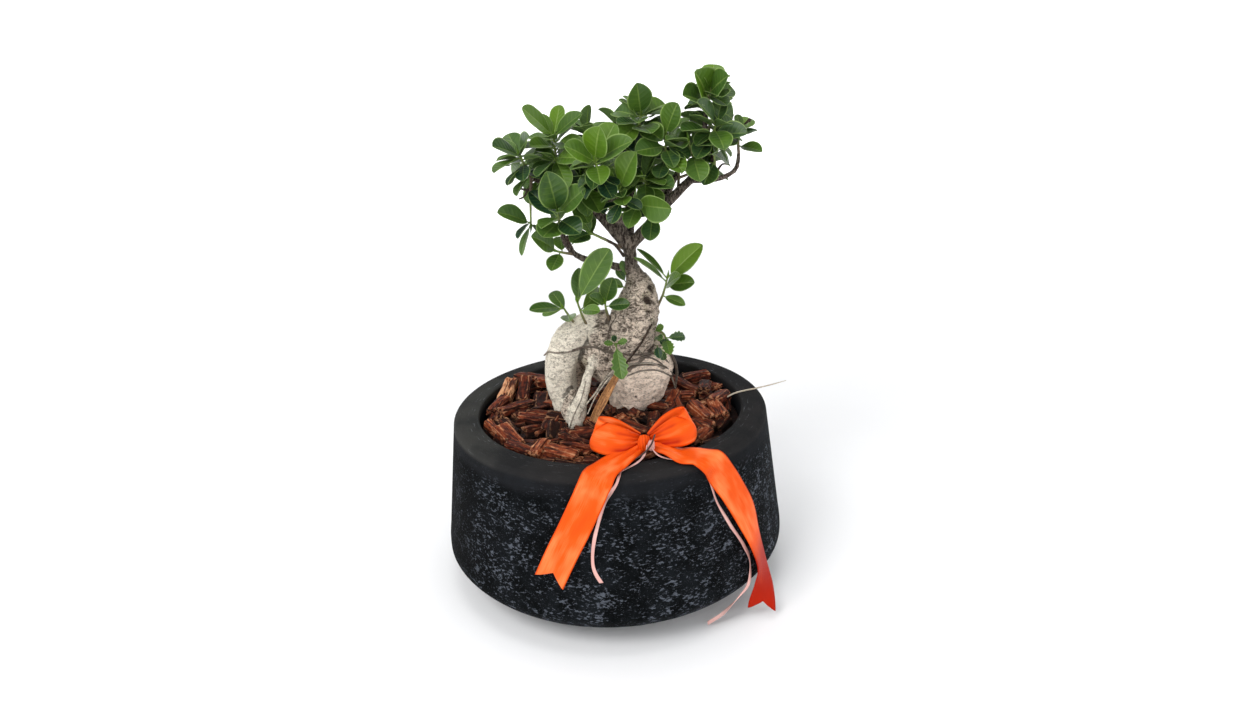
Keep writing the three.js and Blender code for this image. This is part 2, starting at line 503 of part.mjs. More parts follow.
// Leafy shoots. route: from inside the branch to the tip, [x, y, z]. chosen: leaves set one by one,
// [along, heading, pitch, length, width, roll]. more: leaves added by the spiral rule, of this size.
const SHOOTS = {
  crown: { route: [[98, -10, 454], [100, -12, 465], [102, -14, 473]], more: 4, size: 32, seed: 11,
    chosen: [[0.35, -115, 46, 42, 24, 0], [0.6, -63, 32, 36, 20, 20], [0.2, -132, 21, 40, 20, 0],
      [0.4, 29, 19, 36, 18, 0], [1, 72, 55, 30, 16, 0], [0.2, 4, -26, 34, 20, 0]] },
  crown_low: { route: [[95, -8, 422], [102, -14, 431], [106, -18, 441]], more: 3, size: 32, seed: 12,
    chosen: [[0.6, -139, 14, 38, 22, 30], [0.5, -35, 8, 34, 20, 0], [1, -121, 38, 36, 20, 0],
      [0.9, 41, 27, 34, 20, 0], [0.75, -81, -18, 34, 20, 0]] },
  right_tip: { route: [[129, 4, 412], [128, 0, 425], [130, -2, 434]], more: 3, size: 22, seed: 13,
    chosen: [[0.3, -60, 1, 32, 12, 0], [0.95, 62, 22, 30, 14, 0], [0.6, -128, -2, 28, 16, 0]] },
  right_low: { route: [[105, -4, 391], [106, -6, 405], [104, -10, 416]], more: 4, size: 28, seed: 14,
    chosen: [[0.6, -117, -30, 30, 18, 0], [0.9, 46, -21, 30, 16, 0]] },
  centre_top: { route: [[33, 0, 427], [38, -2, 440], [40, -4, 451]], more: 4, size: 32, seed: 15,
    chosen: [[1, -95, 50, 34, 23, 0], [0.9, 42, 18, 34, 22, 0], [0.85, 134, 12, 36, 22, 0],
      [0.6, -133, -20, 32, 20, 0], [0.5, -45, -18, 32, 20, 0]] },
  centre_right: { route: [[59, -10, 402], [61, -14, 420], [61, -16, 434]], more: 4, size: 32, seed: 16,
    chosen: [[1, -69, 52, 34, 20, 0], [0.6, -137, 7, 32, 20, 0], [0.7, 43, -9, 32, 20, 0],
      [0.9, 115, 27, 34, 20, 0], [0.45, -63, -22, 32, 18, 0]] },
  bright: { route: [[2, -36, 400], [0, -40, 410], [-2, -42, 417]], more: 4, size: 30, seed: 17,
    chosen: [[1, -82, 48, 38, 25, 0], [0.7, -83, -20, 30, 20, 0], [0.8, -135, 31, 36, 20, 0],
      [0.85, -38, 29, 42, 22, 0], [0.4, 55, -28, 36, 22, 0], [0.9, 9, 60, 36, 20, 0]] },
  mid_front: { route: [[20, -32, 377], [19, -37, 384], [18, -39, 391]], more: 3, size: 28, seed: 18,
    chosen: [[1, -67, 49, 44, 24, 0], [0.6, 64, 29, 34, 17, 0], [0.7, 125, 18, 36, 20, 0]] },
  fold_leaf: { route: [[37, -19, 368], [35, -26, 372], [32, -30, 376]], more: 2, size: 26, seed: 19,
    chosen: [[1, -51, 0, 42, 24, 60], [0.7, -115, -32, 26, 16, 0]] },
  left_v: { route: [[-31, 8, 395], [-38, 2, 414], [-39, -6, 435]], more: 4, size: 32, seed: 20,
    chosen: [[0.98, -126, 40, 44, 24, 0], [0.98, -32, 37, 36, 20, 0], [1, 75, 52, 36, 18, 0],
      [0.75, -121, 12, 34, 20, 0], [0.75, -38, 12, 34, 20, 0]] },
  left_far_tip: { route: [[-62, -6, 398], [-67, -10, 412], [-70, -12, 420]], more: 3, size: 30, seed: 21,
    chosen: [[1, -120, 24, 36, 20, 0], [0.8, -128, -8, 36, 18, 40], [0.95, -62, 32, 34, 20, 0],
      [0.6, 125, -34, 34, 20, 0], [1, 120, 39, 32, 18, 0]] },
  left_mid: { route: [[-22, 8, 387], [-34, -4, 403], [-39, -11, 417]], more: 3, size: 30, seed: 22,
    chosen: [[1, -69, -32, 38, 17, 0], [0.85, -116, -9, 36, 18, 40], [0.95, -44, 20, 32, 20, 0],
      [0.5, 135, -40, 34, 20, 0]] },
  left_front: { route: [[-38, -10, 351], [-38, -20, 361], [-38, -28, 370]], more: 3, size: 30, seed: 23,
    chosen: [[1, -96, 52, 48, 26, 0], [0.9, -40, 39, 40, 22, 0], [0.7, 153, 37, 36, 18, 0],
      [0.45, -115, -10, 30, 24, 0], [0.6, -58, -18, 30, 22, 0]] },
  left_drop: { route: [[-62, -6, 398], [-64, -8, 378], [-65, -10, 357]], more: 1, size: 24, seed: 24,
    chosen: [[0.98, -133, 28, 38, 18, 0], [0.9, -115, -16, 28, 9, 40], [1, -122, -48, 32, 10, 40]] },
  low_left_tip: { route: [[-27, -4, 326], [-36, -10, 329], [-43, -14, 332]], more: 0, size: 24, seed: 25,
    chosen: [[1, -130, 37, 34, 22, 0], [0.6, 90, 25, 26, 14, 0], [0.7, -105, -18, 28, 15, 0]] },
  big_bright: { route: [[-18, -2, 252], [-22, -12, 266], [-26, -20, 284]], more: 0, size: 24, seed: 26,
    chosen: [[1, -15, 59, 60, 26, 0], [0.9, 75, 75, 34, 14, 0], [0.7, 52, 20, 38, 18, 30],
      [0.7, -51, 14, 28, 12, 0]] },
  low_shoot: { route: [[-28, 2, 250], [-34, -8, 264], [-40, -12, 276]], more: 0, size: 24, seed: 27,
    chosen: [[1, -140, 16, 38, 18, 20], [0.95, 160, -16, 26, 10, 0], [0.65, -85, 10, 26, 18, 0],
      [0.8, 130, 24, 32, 16, 0]] },
  mid_shoot: { route: [[3, 0, 258], [1, -8, 270], [0, -13, 279]], more: 0, size: 24, seed: 28,
    chosen: [[1, -133, 29, 24, 12, 0], [0.9, -53, 66, 30, 17, 0], [0.75, -20, 12, 24, 13, 0]] },
  right_shoot: { route: [[46, 8, 258], [56, 6, 279], [61, 2, 298]], more: 0, size: 28, seed: 29,
    chosen: [[1, -40, 45, 52, 21, 0], [0.97, 140, 40, 44, 12, 30], [0.85, -158, 45, 42, 12, 30],
      [0.7, -72, 34, 36, 16, 0], [0.75, -30, 14, 30, 18, 0], [0.5, -45, -6, 28, 10, 0]] },
  right_low_shoot: { route: [[44, 8, 246], [55, 2, 242], [58, -4, 238]], more: 0, size: 22, seed: 30,
    chosen: [[1, -84, -18, 24, 13, 0], [0.95, 20, -4, 22, 12, 0]] },
  front_small: { route: [[8, -10, 236], [8, -22, 240], [9, -27, 242]], more: 0, size: 22, seed: 31,
    chosen: [[1, -80, -40, 36, 15, 0]] },
  neck_shoot: { route: [[20, 2, 328], [3, -10, 340], [-10, -16, 348]], more: 2, size: 26, seed: 32,
    chosen: [[1, -123, 2, 30, 18, 0], [0.85, 90, 25, 30, 16, 0]] },
  back_left_end: { route: [[-33, 49, 392], [-42, 54, 406], [-48, 58, 416]], more: 7, size: 36, seed: 41,
    chosen: [] },
  back_left_mid: { route: [[-14, 28, 373], [-26, 26, 390], [-32, 26, 402]], more: 6, size: 34, seed: 42,
    chosen: [] },
  back_left_out: { route: [[-24, 40, 384], [-44, 40, 388], [-58, 36, 398]], more: 7, size: 34, seed: 43,
    chosen: [] },
  back_mid_end: { route: [[34, 55, 408], [37, 62, 422], [38, 66, 432]], more: 7, size: 36, seed: 44,
    chosen: [] },
  back_mid_left: { route: [[30, 40, 380], [18, 52, 394], [8, 58, 406]], more: 6, size: 34, seed: 45,
    chosen: [] },
  back_mid_right: { route: [[30, 38, 377], [44, 48, 388], [54, 54, 400]], more: 6, size: 34, seed: 46,
    chosen: [] },
  back_right_end: { route: [[79, 39, 401], [86, 44, 412], [90, 47, 424]], more: 7, size: 34, seed: 47,
    chosen: [] },
  back_right_out: { route: [[70, 23, 388], [88, 26, 394], [102, 28, 402]], more: 5, size: 32, seed: 48,
    chosen: [] },
  top_back: { route: [[28, 0, 418], [24, 14, 428], [20, 24, 438]], more: 6, size: 34, seed: 49,
    chosen: [] },
  top_left: { route: [[4, -4, 412], [-4, 0, 426], [-10, 2, 438]], more: 7, size: 34, seed: 50,
    chosen: [] },
  mid_left_fill: { route: [[-10, 7, 372], [-14, -6, 388], [-16, -14, 402]], more: 5, size: 34, seed: 51,
    chosen: [] },
  crown_back: { route: [[95, -8, 425], [102, 6, 436], [106, 14, 446]], more: 6, size: 32, seed: 52,
    chosen: [] },
  mid_right_fill: { route: [[72, -6, 381], [74, 4, 400], [76, 10, 414]], more: 5, size: 32, seed: 53,
    chosen: [] },
  centre_fill: { route: [[54, -5, 372], [44, -16, 388], [40, -22, 398]], more: 6, size: 32, seed: 54,
    chosen: [] },
  low_back: { route: [[26, 18, 352], [14, 32, 356], [4, 40, 364]], more: 5, size: 30, seed: 55,
    chosen: [] },
  left_low_fill: { route: [[-21, 8, 386], [-24, -4, 380], [-26, -14, 380]], more: 5, size: 32, seed: 56,
    chosen: [] },
  right_mid: { route: [[89, -8, 405], [84, -16, 418], [81, -22, 429]], more: 6, size: 34, seed: 57,
    chosen: [] },
  low_centre: { route: [[48, -2, 354], [48, -13, 362], [46, -20, 366]], more: 4, size: 26, seed: 59,
    chosen: [] },
  rear_low_left: { route: [[-12, 26, 372], [-10, 40, 374], [-10, 50, 380]], more: 5, size: 32, seed: 61,
    chosen: [] },
};
const STEM = { sides: 4, stations: 3, radius: 1.5, tipRadius: 0.9, spacing: 4.2 };
const SPIRAL = {
  lowest: 0.3, step: 0.05, lean: 0.2, jitter: 0.4, open: [32, 42], wider: 13,
  young: 0.72, growth: 0.09, length: [0.94, 1.08], width: [0.6, 0.68], roll: 30, skyward: 0.55,
};
// Turns of heading and pitch that a leaf tries, in degrees, until it is clear of its neighbours
const TRIES = [[0, 0], [8, 5], [-8, 5], [8, -6], [-8, -6], [18, 0], [-18, 0], [0, 14], [0, -14],
  [28, 8], [-28, 8], [28, -10], [-28, -10], [42, 0], [-42, 0], [0, 26], [0, -26], [60, 10], [-60, 10]];

const stemRows = (route) => route.map((p, i) => [...p,
  STEM.radius + (STEM.tipRadius - STEM.radius) * (i / (route.length - 1))]);

// Where a leaf joins its stem: its petiole always starts inside the stem
const jointOn = (rows, place) => vec(along(rows, Math.min(place, 1 - LEAF.sunk / routeLength(rows))));

function chosenLeaf(rows, [place, heading, pitch, length, width, roll]) {
  return { base: jointOn(rows, place), heading, pitch, length, width, roll, front: true };
}

// Spiral rule: the youngest leaf is at the tip, and each older one sits lower and opens wider
function spiralLeaf(rows, shoot, i, random) {
  const reach = routeLength(rows);
  const place = Math.max(1 - (i * STEM.spacing) / reach, SPIRAL.lowest);
  const ahead = vec(along(rows, Math.min(place + SPIRAL.step, 1)));
  const axis = ahead.sub(vec(along(rows, Math.max(place - SPIRAL.step, 0)))).normalize();
  const first = squareTo(axis, UP.clone().addScaledVector(new THREE.Vector3(1, 0, 0), SPIRAL.lean));
  const second = axis.clone().cross(first);
  const turn = shoot.seed + i * GOLDEN_TURN + (random() - 0.5) * SPIRAL.jitter;
  const open = (within(SPIRAL.open, random()) + SPIRAL.wider * i) * DEG;
  const dir = axis.clone().multiplyScalar(Math.cos(open))
    .addScaledVector(first, Math.cos(turn) * Math.sin(open))
    .addScaledVector(second, Math.sin(turn) * Math.sin(open));
  const grown = Math.min(SPIRAL.young + SPIRAL.growth * i, 1);
  const length = shoot.size * grown * within(SPIRAL.length, random());
  return {
    base: jointOn(rows, place),
    heading: Math.atan2(dir.y, dir.x) / DEG,
    pitch: Math.asin(dir.z) / DEG,
    length,
    width: length * within(SPIRAL.width, random()),
    roll: (random() - 0.5) * SPIRAL.roll,
    front: false,
  };
}

function posedLeaf(plan, axis, [turn, lift]) {
  const dir = headingVector(plan.heading + turn, plan.pitch + lift);
  const sky = UP.clone().multiplyScalar(SPIRAL.skyward).addScaledVector(axis, 1 - SPIRAL.skyward);
  const face = squareTo(dir, plan.front ? FRONT_LIGHT : sky);
  face.applyAxisAngle(dir, plan.roll * DEG);
  const leaf = { base: plan.base, dir, face, length: plan.length, width: plan.width };
  leaf.middle = leafPoint(leaf, 0.5, 0);
  return leaf;
}

function placeLeaves() {
  const wood = Object.values({ ...ROOTS, ...BRANCHES }).flatMap((rows) => woodPoints(rows, ''));
  for (const [name, shoot] of Object.entries(SHOOTS)) {
    wood.push(...woodPoints(stemRows(shoot.route), name));
  }
  const placed = [];
  const fits = (leaf) => {
    for (const other of placed) {
      if (other.middle.distanceTo(leaf.middle) > (other.length + leaf.length) * LEAF.near) continue;
      const clear = other.owner === leaf.owner ? LEAF.ownClear : LEAF.clear;
      if (!pointsClear(leaf.points, other.triangles, clear)) return false;
      if (!pointsClear(other.points, leaf.triangles, clear)) return false;
    }
    return wood.every(({ point, radius, owner }) => owner === leaf.owner
      || point.distanceTo(leaf.middle) > leaf.length
      || pointsClear([point], leaf.triangles, radius + LEAF.woodClear));
  };
  const plans = [];
  for (const [name, shoot] of Object.entries(SHOOTS)) {
    const rows = stemRows(shoot.route);
    const axis = vec(along(rows, 1)).sub(vec(along(rows, 0.6))).normalize();
    for (const numbers of shoot.chosen) plans.push({ ...chosenLeaf(rows, numbers), owner: name, axis });
  }
  for (const [name, shoot] of Object.entries(SHOOTS)) {
    const rows = stemRows(shoot.route);
    const random = randomFrom(shoot.seed);
    const axis = vec(along(rows, 1)).sub(vec(along(rows, 0.6))).normalize();
    for (let i = 0; i < shoot.more; i += 1) {
      plans.push({ ...spiralLeaf(rows, shoot, i, random), owner: name, axis });
    }
  }
  for (const plan of plans) {
    for (const change of TRIES) {
      const leaf = posedLeaf(plan, plan.axis, change);
      leaf.owner = plan.owner;
      leaf.triangles = bladeTriangles(leaf);
      leaf.points = samplesOf(leaf.triangles);
      if (fits(leaf)) {
        placed.push(leaf);
        break;
      }
    }
  }
  return placed;
}

function makeShoot(name, leaves, keepClear) {
  const rows = stemRows(SHOOTS[name].route);
  const stem = limb(rows, STEM.sides, STEM.stations, 0, 0);
  const whole = joined([stem, ...leaves.filter((leaf) => leaf.owner === name).map(leafSolid)]);
  return largestBody(whole.subtract(keepClear));
}

// Radius of the pot's side at a height above its belly
function wallAt(z) {
  const share = (z - POT.bellyHeight) / (POT.height - POT.rimRound - POT.bellyHeight);
  return POT.belly + (POT.rimOuter - POT.belly) * share;
}

// Row of a ribbon that hangs down the front of the pot, off the wall, its width leaning by slope
function hang(x, z, slope, off, turn = 1) {
  const radius = wallAt(z) + off;
  const y = -Math.sqrt(radius * radius - x * x);
  return [x, y, z, 1, turn * -y / radius, turn * x / radius, slope];
}

// Ribbons: rows of [x, y, z, share of the full width, across x, across y, across z]
const BOW = {
  left_loop: [[28, -110, 180, 0.357, 0.1, 0.3, 0.9], [14, -117, 183, 0.857, 0, 0.4, 0.9],
    [-4, -118, 186, 1, -0.1, 0.5, 0.87], [-18, -109, 187, 1, -0.1, 0.5, 0.87],
    [-12, -98, 187, 1, 0, 0.5, 0.87], [6, -99, 185, 0.929, 0, 0.4, 0.9],
    [28, -107, 181, 0.357, 0.1, 0.3, 0.9]],
  right_loop: [[37, -110, 180, 0.357, -0.1, 0.3, 0.9], [50, -116, 185, 0.786, -0.3, 0.4, 0.85],
    [66, -115, 190, 1, -0.2, 0.45, 0.87], [79, -104, 191, 1, 0, 0.45, 0.87],
    [74, -93, 192, 1, -0.1, 0.45, 0.87], [55, -99, 188, 0.857, -0.3, 0.4, 0.85],
    [36.6, -107.6, 181, 0.357, -0.1, 0.3, 0.9]],
  left_tail: [[30, -113, 178, 0.357, 0.6, -0.5, -0.4], [17, -125, 175.5, 0.714, 0.75, -0.65, -0.05],
    [4, -139, 173.4, 0.964, 0.88, -0.45, 0], [-6, -153, 172.6, 1, 0.96, -0.25, -0.06],
    [-12, -162, 166, 1, 0.93, 0, -0.3], hang(-19, 150, -0.45, 4), hang(-32, 123, -0.45, 3.6),
    hang(-44, 99, -0.45, 3.4), hang(-56, 73, -0.45, 3.4)],
  right_tail: [[36, -113, 178, 0.357, 0.2, -0.9, -0.3], [50, -121, 177, 0.714, 0.1, -0.98, -0.1],
    [63, -127, 173.8, 0.964, 0.05, -0.99, -0.08], [77, -130, 173.4, 1, -0.28, -0.95, -0.08],
    [90, -134, 168, 1, -0.64, -0.7, -0.28], hang(99, 153, -0.3, 4.5, -1), hang(109, 135, -0.22, 5, -1),
    hang(121, 109, -0.1, 6, -1), [131, -117, 80, 1, -0.45, -0.88, 0.1],
    [138, -115, 52, 1, -0.4, -0.88, 0.2], [139, -117, 30, 1, -0.6, -0.78, 0.2],
    [136, -119, 12, 0.929, -0.75, -0.6, 0.25]],
};
const TIES = {
  left: [[35, -124.5, 182, 1, 0.3, 0, 0.95], [31, -129, 175, 1, 0.6, -0.5, 0],
    [24, -135, 170.9, 1, 0.8, -0.5, 0], [12, -148, 170.8, 1, 0.9, -0.4, 0],
    [9, -155.6, 169.7, 1, 0.9, -0.2, -0.1], [6, -159, 165, 1, 0.95, 0, -0.2],
    hang(1, 156, -0.3, 1), hang(-5, 146, -0.3, 1), hang(-11, 129, -0.3, 1),
    hang(-15, 110, -0.1, 1), hang(-16, 89, 0, 2), hang(-10, 75, 0.6, 3)],
  right: [[37, -124.5, 182, 1, 0.3, 0, 0.95], [44.5, -131, 174.5, 1, 0, -0.9, 0],
    [58, -137, 171.1, 1, -0.3, -0.9, 0], [72, -141, 169, 1, -0.6, -0.7, 0],
    hang(81, 159, 0, 1, -1), hang(87, 147, 0, 1, -1), hang(94, 127, 0.2, 1, -1),
    hang(108, 98, 0.3, 1.2, -1), hang(121, 72, 0.4, 1.6, -1), hang(127, 54, 0, 2, -1),
    [124, -127, 40, 1, -0.8, -0.4, -0.4], [114, -129, 26, 1, -0.6, -0.4, -0.6],
    [99, -128, 13, 1, -0.5, -0.4, -0.7], [84, -124, 3.4, 1, -0.4, -0.6, -0.5]],
};

// Stations along each ribbon
const STATIONS = { left_loop: 11, right_loop: 11, left_tail: 13, right_tail: 17, left: 20, right: 21 };

// Frame of a strip at t: its tangent, the way its width runs and the way its face looks
function stripFrame(rows, t, step) {
  const row = along(rows, t);
  const ahead = vec(along(rows, Math.min(t + step, 1)));
  const tangent = ahead.sub(vec(along(rows, Math.max(t - step, 0)))).normalize();
  const across = squareTo(tangent, new THREE.Vector3(row[4], row[5], row[6]));
  return { row, tangent, across, out: tangent.clone().cross(across) };
}

// Flat strip of a full width and a thickness
function strip(rows, stations, { width, thick }) {
  const rings = Array.from({ length: stations }, (_, i) => {
    const { row, across, out } = stripFrame(rows, i / (stations - 1), 0.01);
    const place = (side, face) => vec(row).addScaledVector(across, side * row[3] * width / 2)
      .addScaledVector(out, face * thick / 2);
    return [place(-1, 1), place(1, 1), place(1, -1), place(-1, -1)];
  });
  return loftSolid(rings);
}

// Wedge that cuts the swallow-tail notch into the far end of a ribbon tail
function notchWedge(rows) {
  const { row, tangent, across, out } = stripFrame(rows, 1, 0.03);
  const half = RIBBON.width / 2;
  const depth = half / 2;
  const corners = [[-RIBBON.notch, 0], [GAP, -half], [GAP, half]];
  const ring = (face) => corners.map(([forward, side]) => vec(row).addScaledVector(tangent, forward)
    .addScaledVector(across, side).addScaledVector(out, face));
  return loftSolid([ring(-depth), ring(depth)]);
}

// Knots: rows of [x, y, z, radius]
const KNOT = { sides: 6, lobes: 0.04, rows: [[32, -111, BOW_REST + GAP, 5], [32, -112.5, 175.5, 7],
  [33, -113, 181, 8], [33, -112, 187, 7], [33, -111, 190, 4.5]] };
const TIE_KNOT = { sides: 6, lobes: 0.05, rows: [[36, -124, 178.5, 1.6], [36, -124.5, 181, 2.4],
  [36, -124.5, 184, 2.4], [36, -124, 187, 1.6]] };

const knotOf = ({ rows, sides, lobes }) => limb(rows, sides, rows.length, lobes, 0);

function makeBow() {
  const parts = [knotOf(KNOT)];
  for (const [name, rows] of Object.entries(BOW)) {
    const ribbon = strip(rows, STATIONS[name], RIBBON);
    parts.push(name.endsWith('tail') ? ribbon.subtract(notchWedge(rows)) : ribbon);
  }
  return joined(parts);
}

function makeTies() {
  const strips = Object.entries(TIES).map(([name, rows]) => strip(rows, STATIONS[name], TIE));
  return joined([knotOf(TIE_KNOT), ...strips]);
}

// Thin round pieces: rows of [x, y, z, radius]
const WIRE = { sides: 5, stations: 8, rows: [[42, -125, 188, 0.8], [38, -128.6, 185, 0.8],
  [31, -130.5, 180.5, 0.8], [25, -133, 177, 0.8], [21, -137, 176, 0.8]] };
const STRAW = { sides: 5, stations: 6, rows: [[104, 6, 158, 1], [126, 9, 170.5, 1], [150, 11, 175, 0.9],
  [181, 12, 182, 0.7]] };

const thread = ({ rows, sides, stations }, swell) => limb(rows, sides, stations, 0, swell);

// Husk: a strip, its rows as for the ribbons
const HUSK = { width: 8, thick: 1.6, stations: 7, rows: [[8, -20, 208, 1, 0.8, 0.5, 0.5],
  [2, -24, 199, 1, 0.8, 0.5, 0.4], [-6, -31, 187, 1.12, 0.8, 0.5, 0.3], [-15, -40, 173, 1, 0.8, 0.5, 0.2],
  [-20, -46, 160, 0.88, 0.8, 0.5, 0.2]] };

function makeHusk(swell) {
  const size = { width: HUSK.width + 2 * swell, thick: HUSK.thick + 2 * swell };
  return strip(HUSK.rows, HUSK.stations, size);
}

// Colours of the pieces, with roughness
const FINISHES = {
  pot: [0x2a2b2d, 0.8],
  soil: [0x2b1d14, 0.95],
  mulch: [0x7a3b25, 0.85],
  bark: [0xa79a86, 0.8],
  leaf: [0x2f6b2c, 0.4],
  ribbon: [0xff5a1c, 0.35],
  tie: [0xe9a79b, 0.4],
  wire: [0x2c2320, 0.5],
  straw: [0xb3a58c, 0.7],
  husk: [0xb5713a, 0.7],
};

const bonsai = new THREE.Group();

function addPiece(name, finish, manifold) {
  const [color, roughness] = FINISHES[finish];
  const material = new THREE.MeshStandardMaterial({ color, roughness, metalness: 0 });
  const mesh = new THREE.Mesh(geometryFrom(manifold), material);
  mesh.name = name;
  bonsai.add(mesh);
}

const trunk = makeTrunk(0);
const trunkRoom = makeTrunk(GAP);
const leaves = placeLeaves();

addPiece('pot', 'pot', makePot());
addPiece('soil', 'soil', makeSoil());
addPiece('bark_mulch', 'mulch', makeMulch([trunkRoom, thread(STRAW, GAP), makeHusk(GAP)]));
addPiece('trunk', 'bark', trunk);
for (const name of Object.keys(SHOOTS)) {
  addPiece(`shoot_${name}`, 'leaf', makeShoot(name, leaves, trunkRoom));
}
addPiece('husk', 'husk', largestBody(makeHusk(0).subtract(trunkRoom)));
addPiece('straw', 'straw', thread(STRAW, 0));
addPiece('ribbon_bow', 'ribbon', makeBow());
addPiece('tie_ribbon', 'tie', makeTies());
addPiece('tie_wire', 'wire', thread(WIRE, 0));

export default bonsai;
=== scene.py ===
"""Ficus bonsai with swollen roots in a wide round pot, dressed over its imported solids.

Sizes are in millimetres until a shape becomes a mesh. +Z is up and the front of the plant is
towards -Y.
"""

from __future__ import annotations

import logging
import math
from dataclasses import dataclass, field, replace
from enum import Enum
from typing import Any, Iterator, Mapping, Sequence

import bpy
import numpy as np
from mathutils import Matrix, Vector, noise
from mathutils.bvhtree import BVHTree

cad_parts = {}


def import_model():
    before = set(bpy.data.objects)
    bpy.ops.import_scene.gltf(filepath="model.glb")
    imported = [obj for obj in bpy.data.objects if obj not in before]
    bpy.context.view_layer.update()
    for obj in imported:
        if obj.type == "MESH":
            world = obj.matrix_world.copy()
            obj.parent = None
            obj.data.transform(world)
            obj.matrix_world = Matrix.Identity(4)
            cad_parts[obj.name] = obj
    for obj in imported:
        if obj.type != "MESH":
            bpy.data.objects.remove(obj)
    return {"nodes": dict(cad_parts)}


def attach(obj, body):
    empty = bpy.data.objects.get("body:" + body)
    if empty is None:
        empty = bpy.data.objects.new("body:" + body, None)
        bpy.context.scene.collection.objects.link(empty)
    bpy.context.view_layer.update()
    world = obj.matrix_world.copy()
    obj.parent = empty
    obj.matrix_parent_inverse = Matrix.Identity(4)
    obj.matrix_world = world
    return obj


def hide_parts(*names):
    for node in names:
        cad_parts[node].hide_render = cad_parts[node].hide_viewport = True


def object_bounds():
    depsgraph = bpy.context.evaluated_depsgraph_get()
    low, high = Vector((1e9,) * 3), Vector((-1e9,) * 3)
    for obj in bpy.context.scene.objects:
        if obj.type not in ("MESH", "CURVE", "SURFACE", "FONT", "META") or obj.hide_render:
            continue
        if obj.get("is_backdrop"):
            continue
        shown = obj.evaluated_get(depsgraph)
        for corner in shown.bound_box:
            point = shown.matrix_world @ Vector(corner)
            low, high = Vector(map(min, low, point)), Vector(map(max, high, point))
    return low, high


LOG = logging.getLogger("bonsai")
TAU = 2 * math.pi
UP = np.array([0.0, 0.0, 1.0])
FRONT_LIGHT = np.array([0.0, -0.75, 0.65])
# Millimetres: farther than any distance, the air between pieces, and the height of the soil
BEYOND = 400.0
GAP = 0.35
SOIL_TOP = 148.0
# Carried frames: how near a curve's tangent is measured, and when it is too steep for a guide
NEARBY = 0.02
STEEP = 0.9

Colour = tuple[float, float, float, float]
Rows = Sequence[Sequence[float]]


# Numbers and curves


def unit(vectors: np.ndarray) -> np.ndarray:
    """Vectors scaled to a length of one."""
    return vectors / np.linalg.norm(vectors, axis=-1, keepdims=True)


def square_to(direction: np.ndarray, guide: np.ndarray) -> np.ndarray:
    """The unit vector nearest to a guide that is square to a direction."""
    along_it = np.sum(guide * direction, axis=-1, keepdims=True)
    return unit(guide - along_it * direction)


def turned_about(vector: np.ndarray, axis: np.ndarray, degrees: float) -> np.ndarray:
    """A vector turned about an axis that it is square to."""
    angle = math.radians(degrees)
    return vector * math.cos(angle) + np.cross(axis, vector) * math.sin(angle)


def eased(values: np.ndarray | float, low: float, high: float) -> np.ndarray:
    """Smooth rise from 0 at the low value to 1 at the high one."""
    share = np.clip((np.asarray(values, float) - low) / (high - low), 0, 1)
    return share * share * (3 - 2 * share)


def between(ends: Sequence[float], share: float) -> float:
    """The number that lies at a share of the way from one end to the other."""
    return ends[0] + (ends[1] - ends[0]) * share


def along(rows: Rows, places: np.ndarray | float) -> np.ndarray:
    """Points of a uniform Catmull-Rom curve.

    Args:
        rows: The curve's rows of numbers.
        places: Places from 0 to 1 along it.

    Returns:
        One row of numbers for each place.
    """
    table = np.asarray(rows, float)
    spans = len(table) - 1
    place = np.clip(np.atleast_1d(places), 0, 1) * spans
    i = np.minimum(np.floor(place).astype(int), spans - 1)
    u = (place - i)[:, None]
    a, b = table[np.maximum(i - 1, 0)], table[i]
    c, d = table[i + 1], table[np.minimum(i + 2, spans)]
    cubic = (3 * b - a - 3 * c + d) * u * u * u
    return 0.5 * (2 * b + (c - a) * u + (2 * a - 5 * b + 4 * c - d) * u * u + cubic)


def route_length(rows: Rows, steps: int = 24) -> float:
    """Length of a curve, measured in straight steps."""
    points = along(rows, np.linspace(0, 1, steps + 1))[:, :3]
    return float(np.linalg.norm(np.diff(points, axis=0), axis=1).sum())


class Dice:
    """Repeatable random numbers, in the same order as the solids were made with."""

    MASK = 0xFFFFFFFF
    STRIDE = 0x6D2B79F5

    def __init__(self, seed: int) -> None:
        """Starts the numbers from a seed."""
        self.state = seed & self.MASK

    def roll(self) -> float:
        """The next number, from 0 up to 1.

        Returns:
            The number.
        """
        self.state = (self.state + self.STRIDE) & self.MASK
        mixed = ((self.state ^ (self.state >> 15)) * (self.state | 1)) & self.MASK
        mixed ^= (mixed + (((mixed ^ (mixed >> 7)) * (mixed | 61)) & self.MASK)) & self.MASK
        return ((mixed ^ (mixed >> 14)) & self.MASK) / (self.MASK + 1)

    def spread(self, size: float = 1.0) -> float:
        """The next number, from minus half a size to half of it."""
        return (self.roll() - 0.5) * size

    def jitter(self, size: float = 1.0) -> list[float]:
        """Eight numbers for a chip, each from minus half a size to half of it."""
        return [size * self.spread() for _ in range(8)]

    def within(self, low: float, high: float) -> float:
        """The next number, between two ends."""
        return low + (high - low) * self.roll()


# Meshes


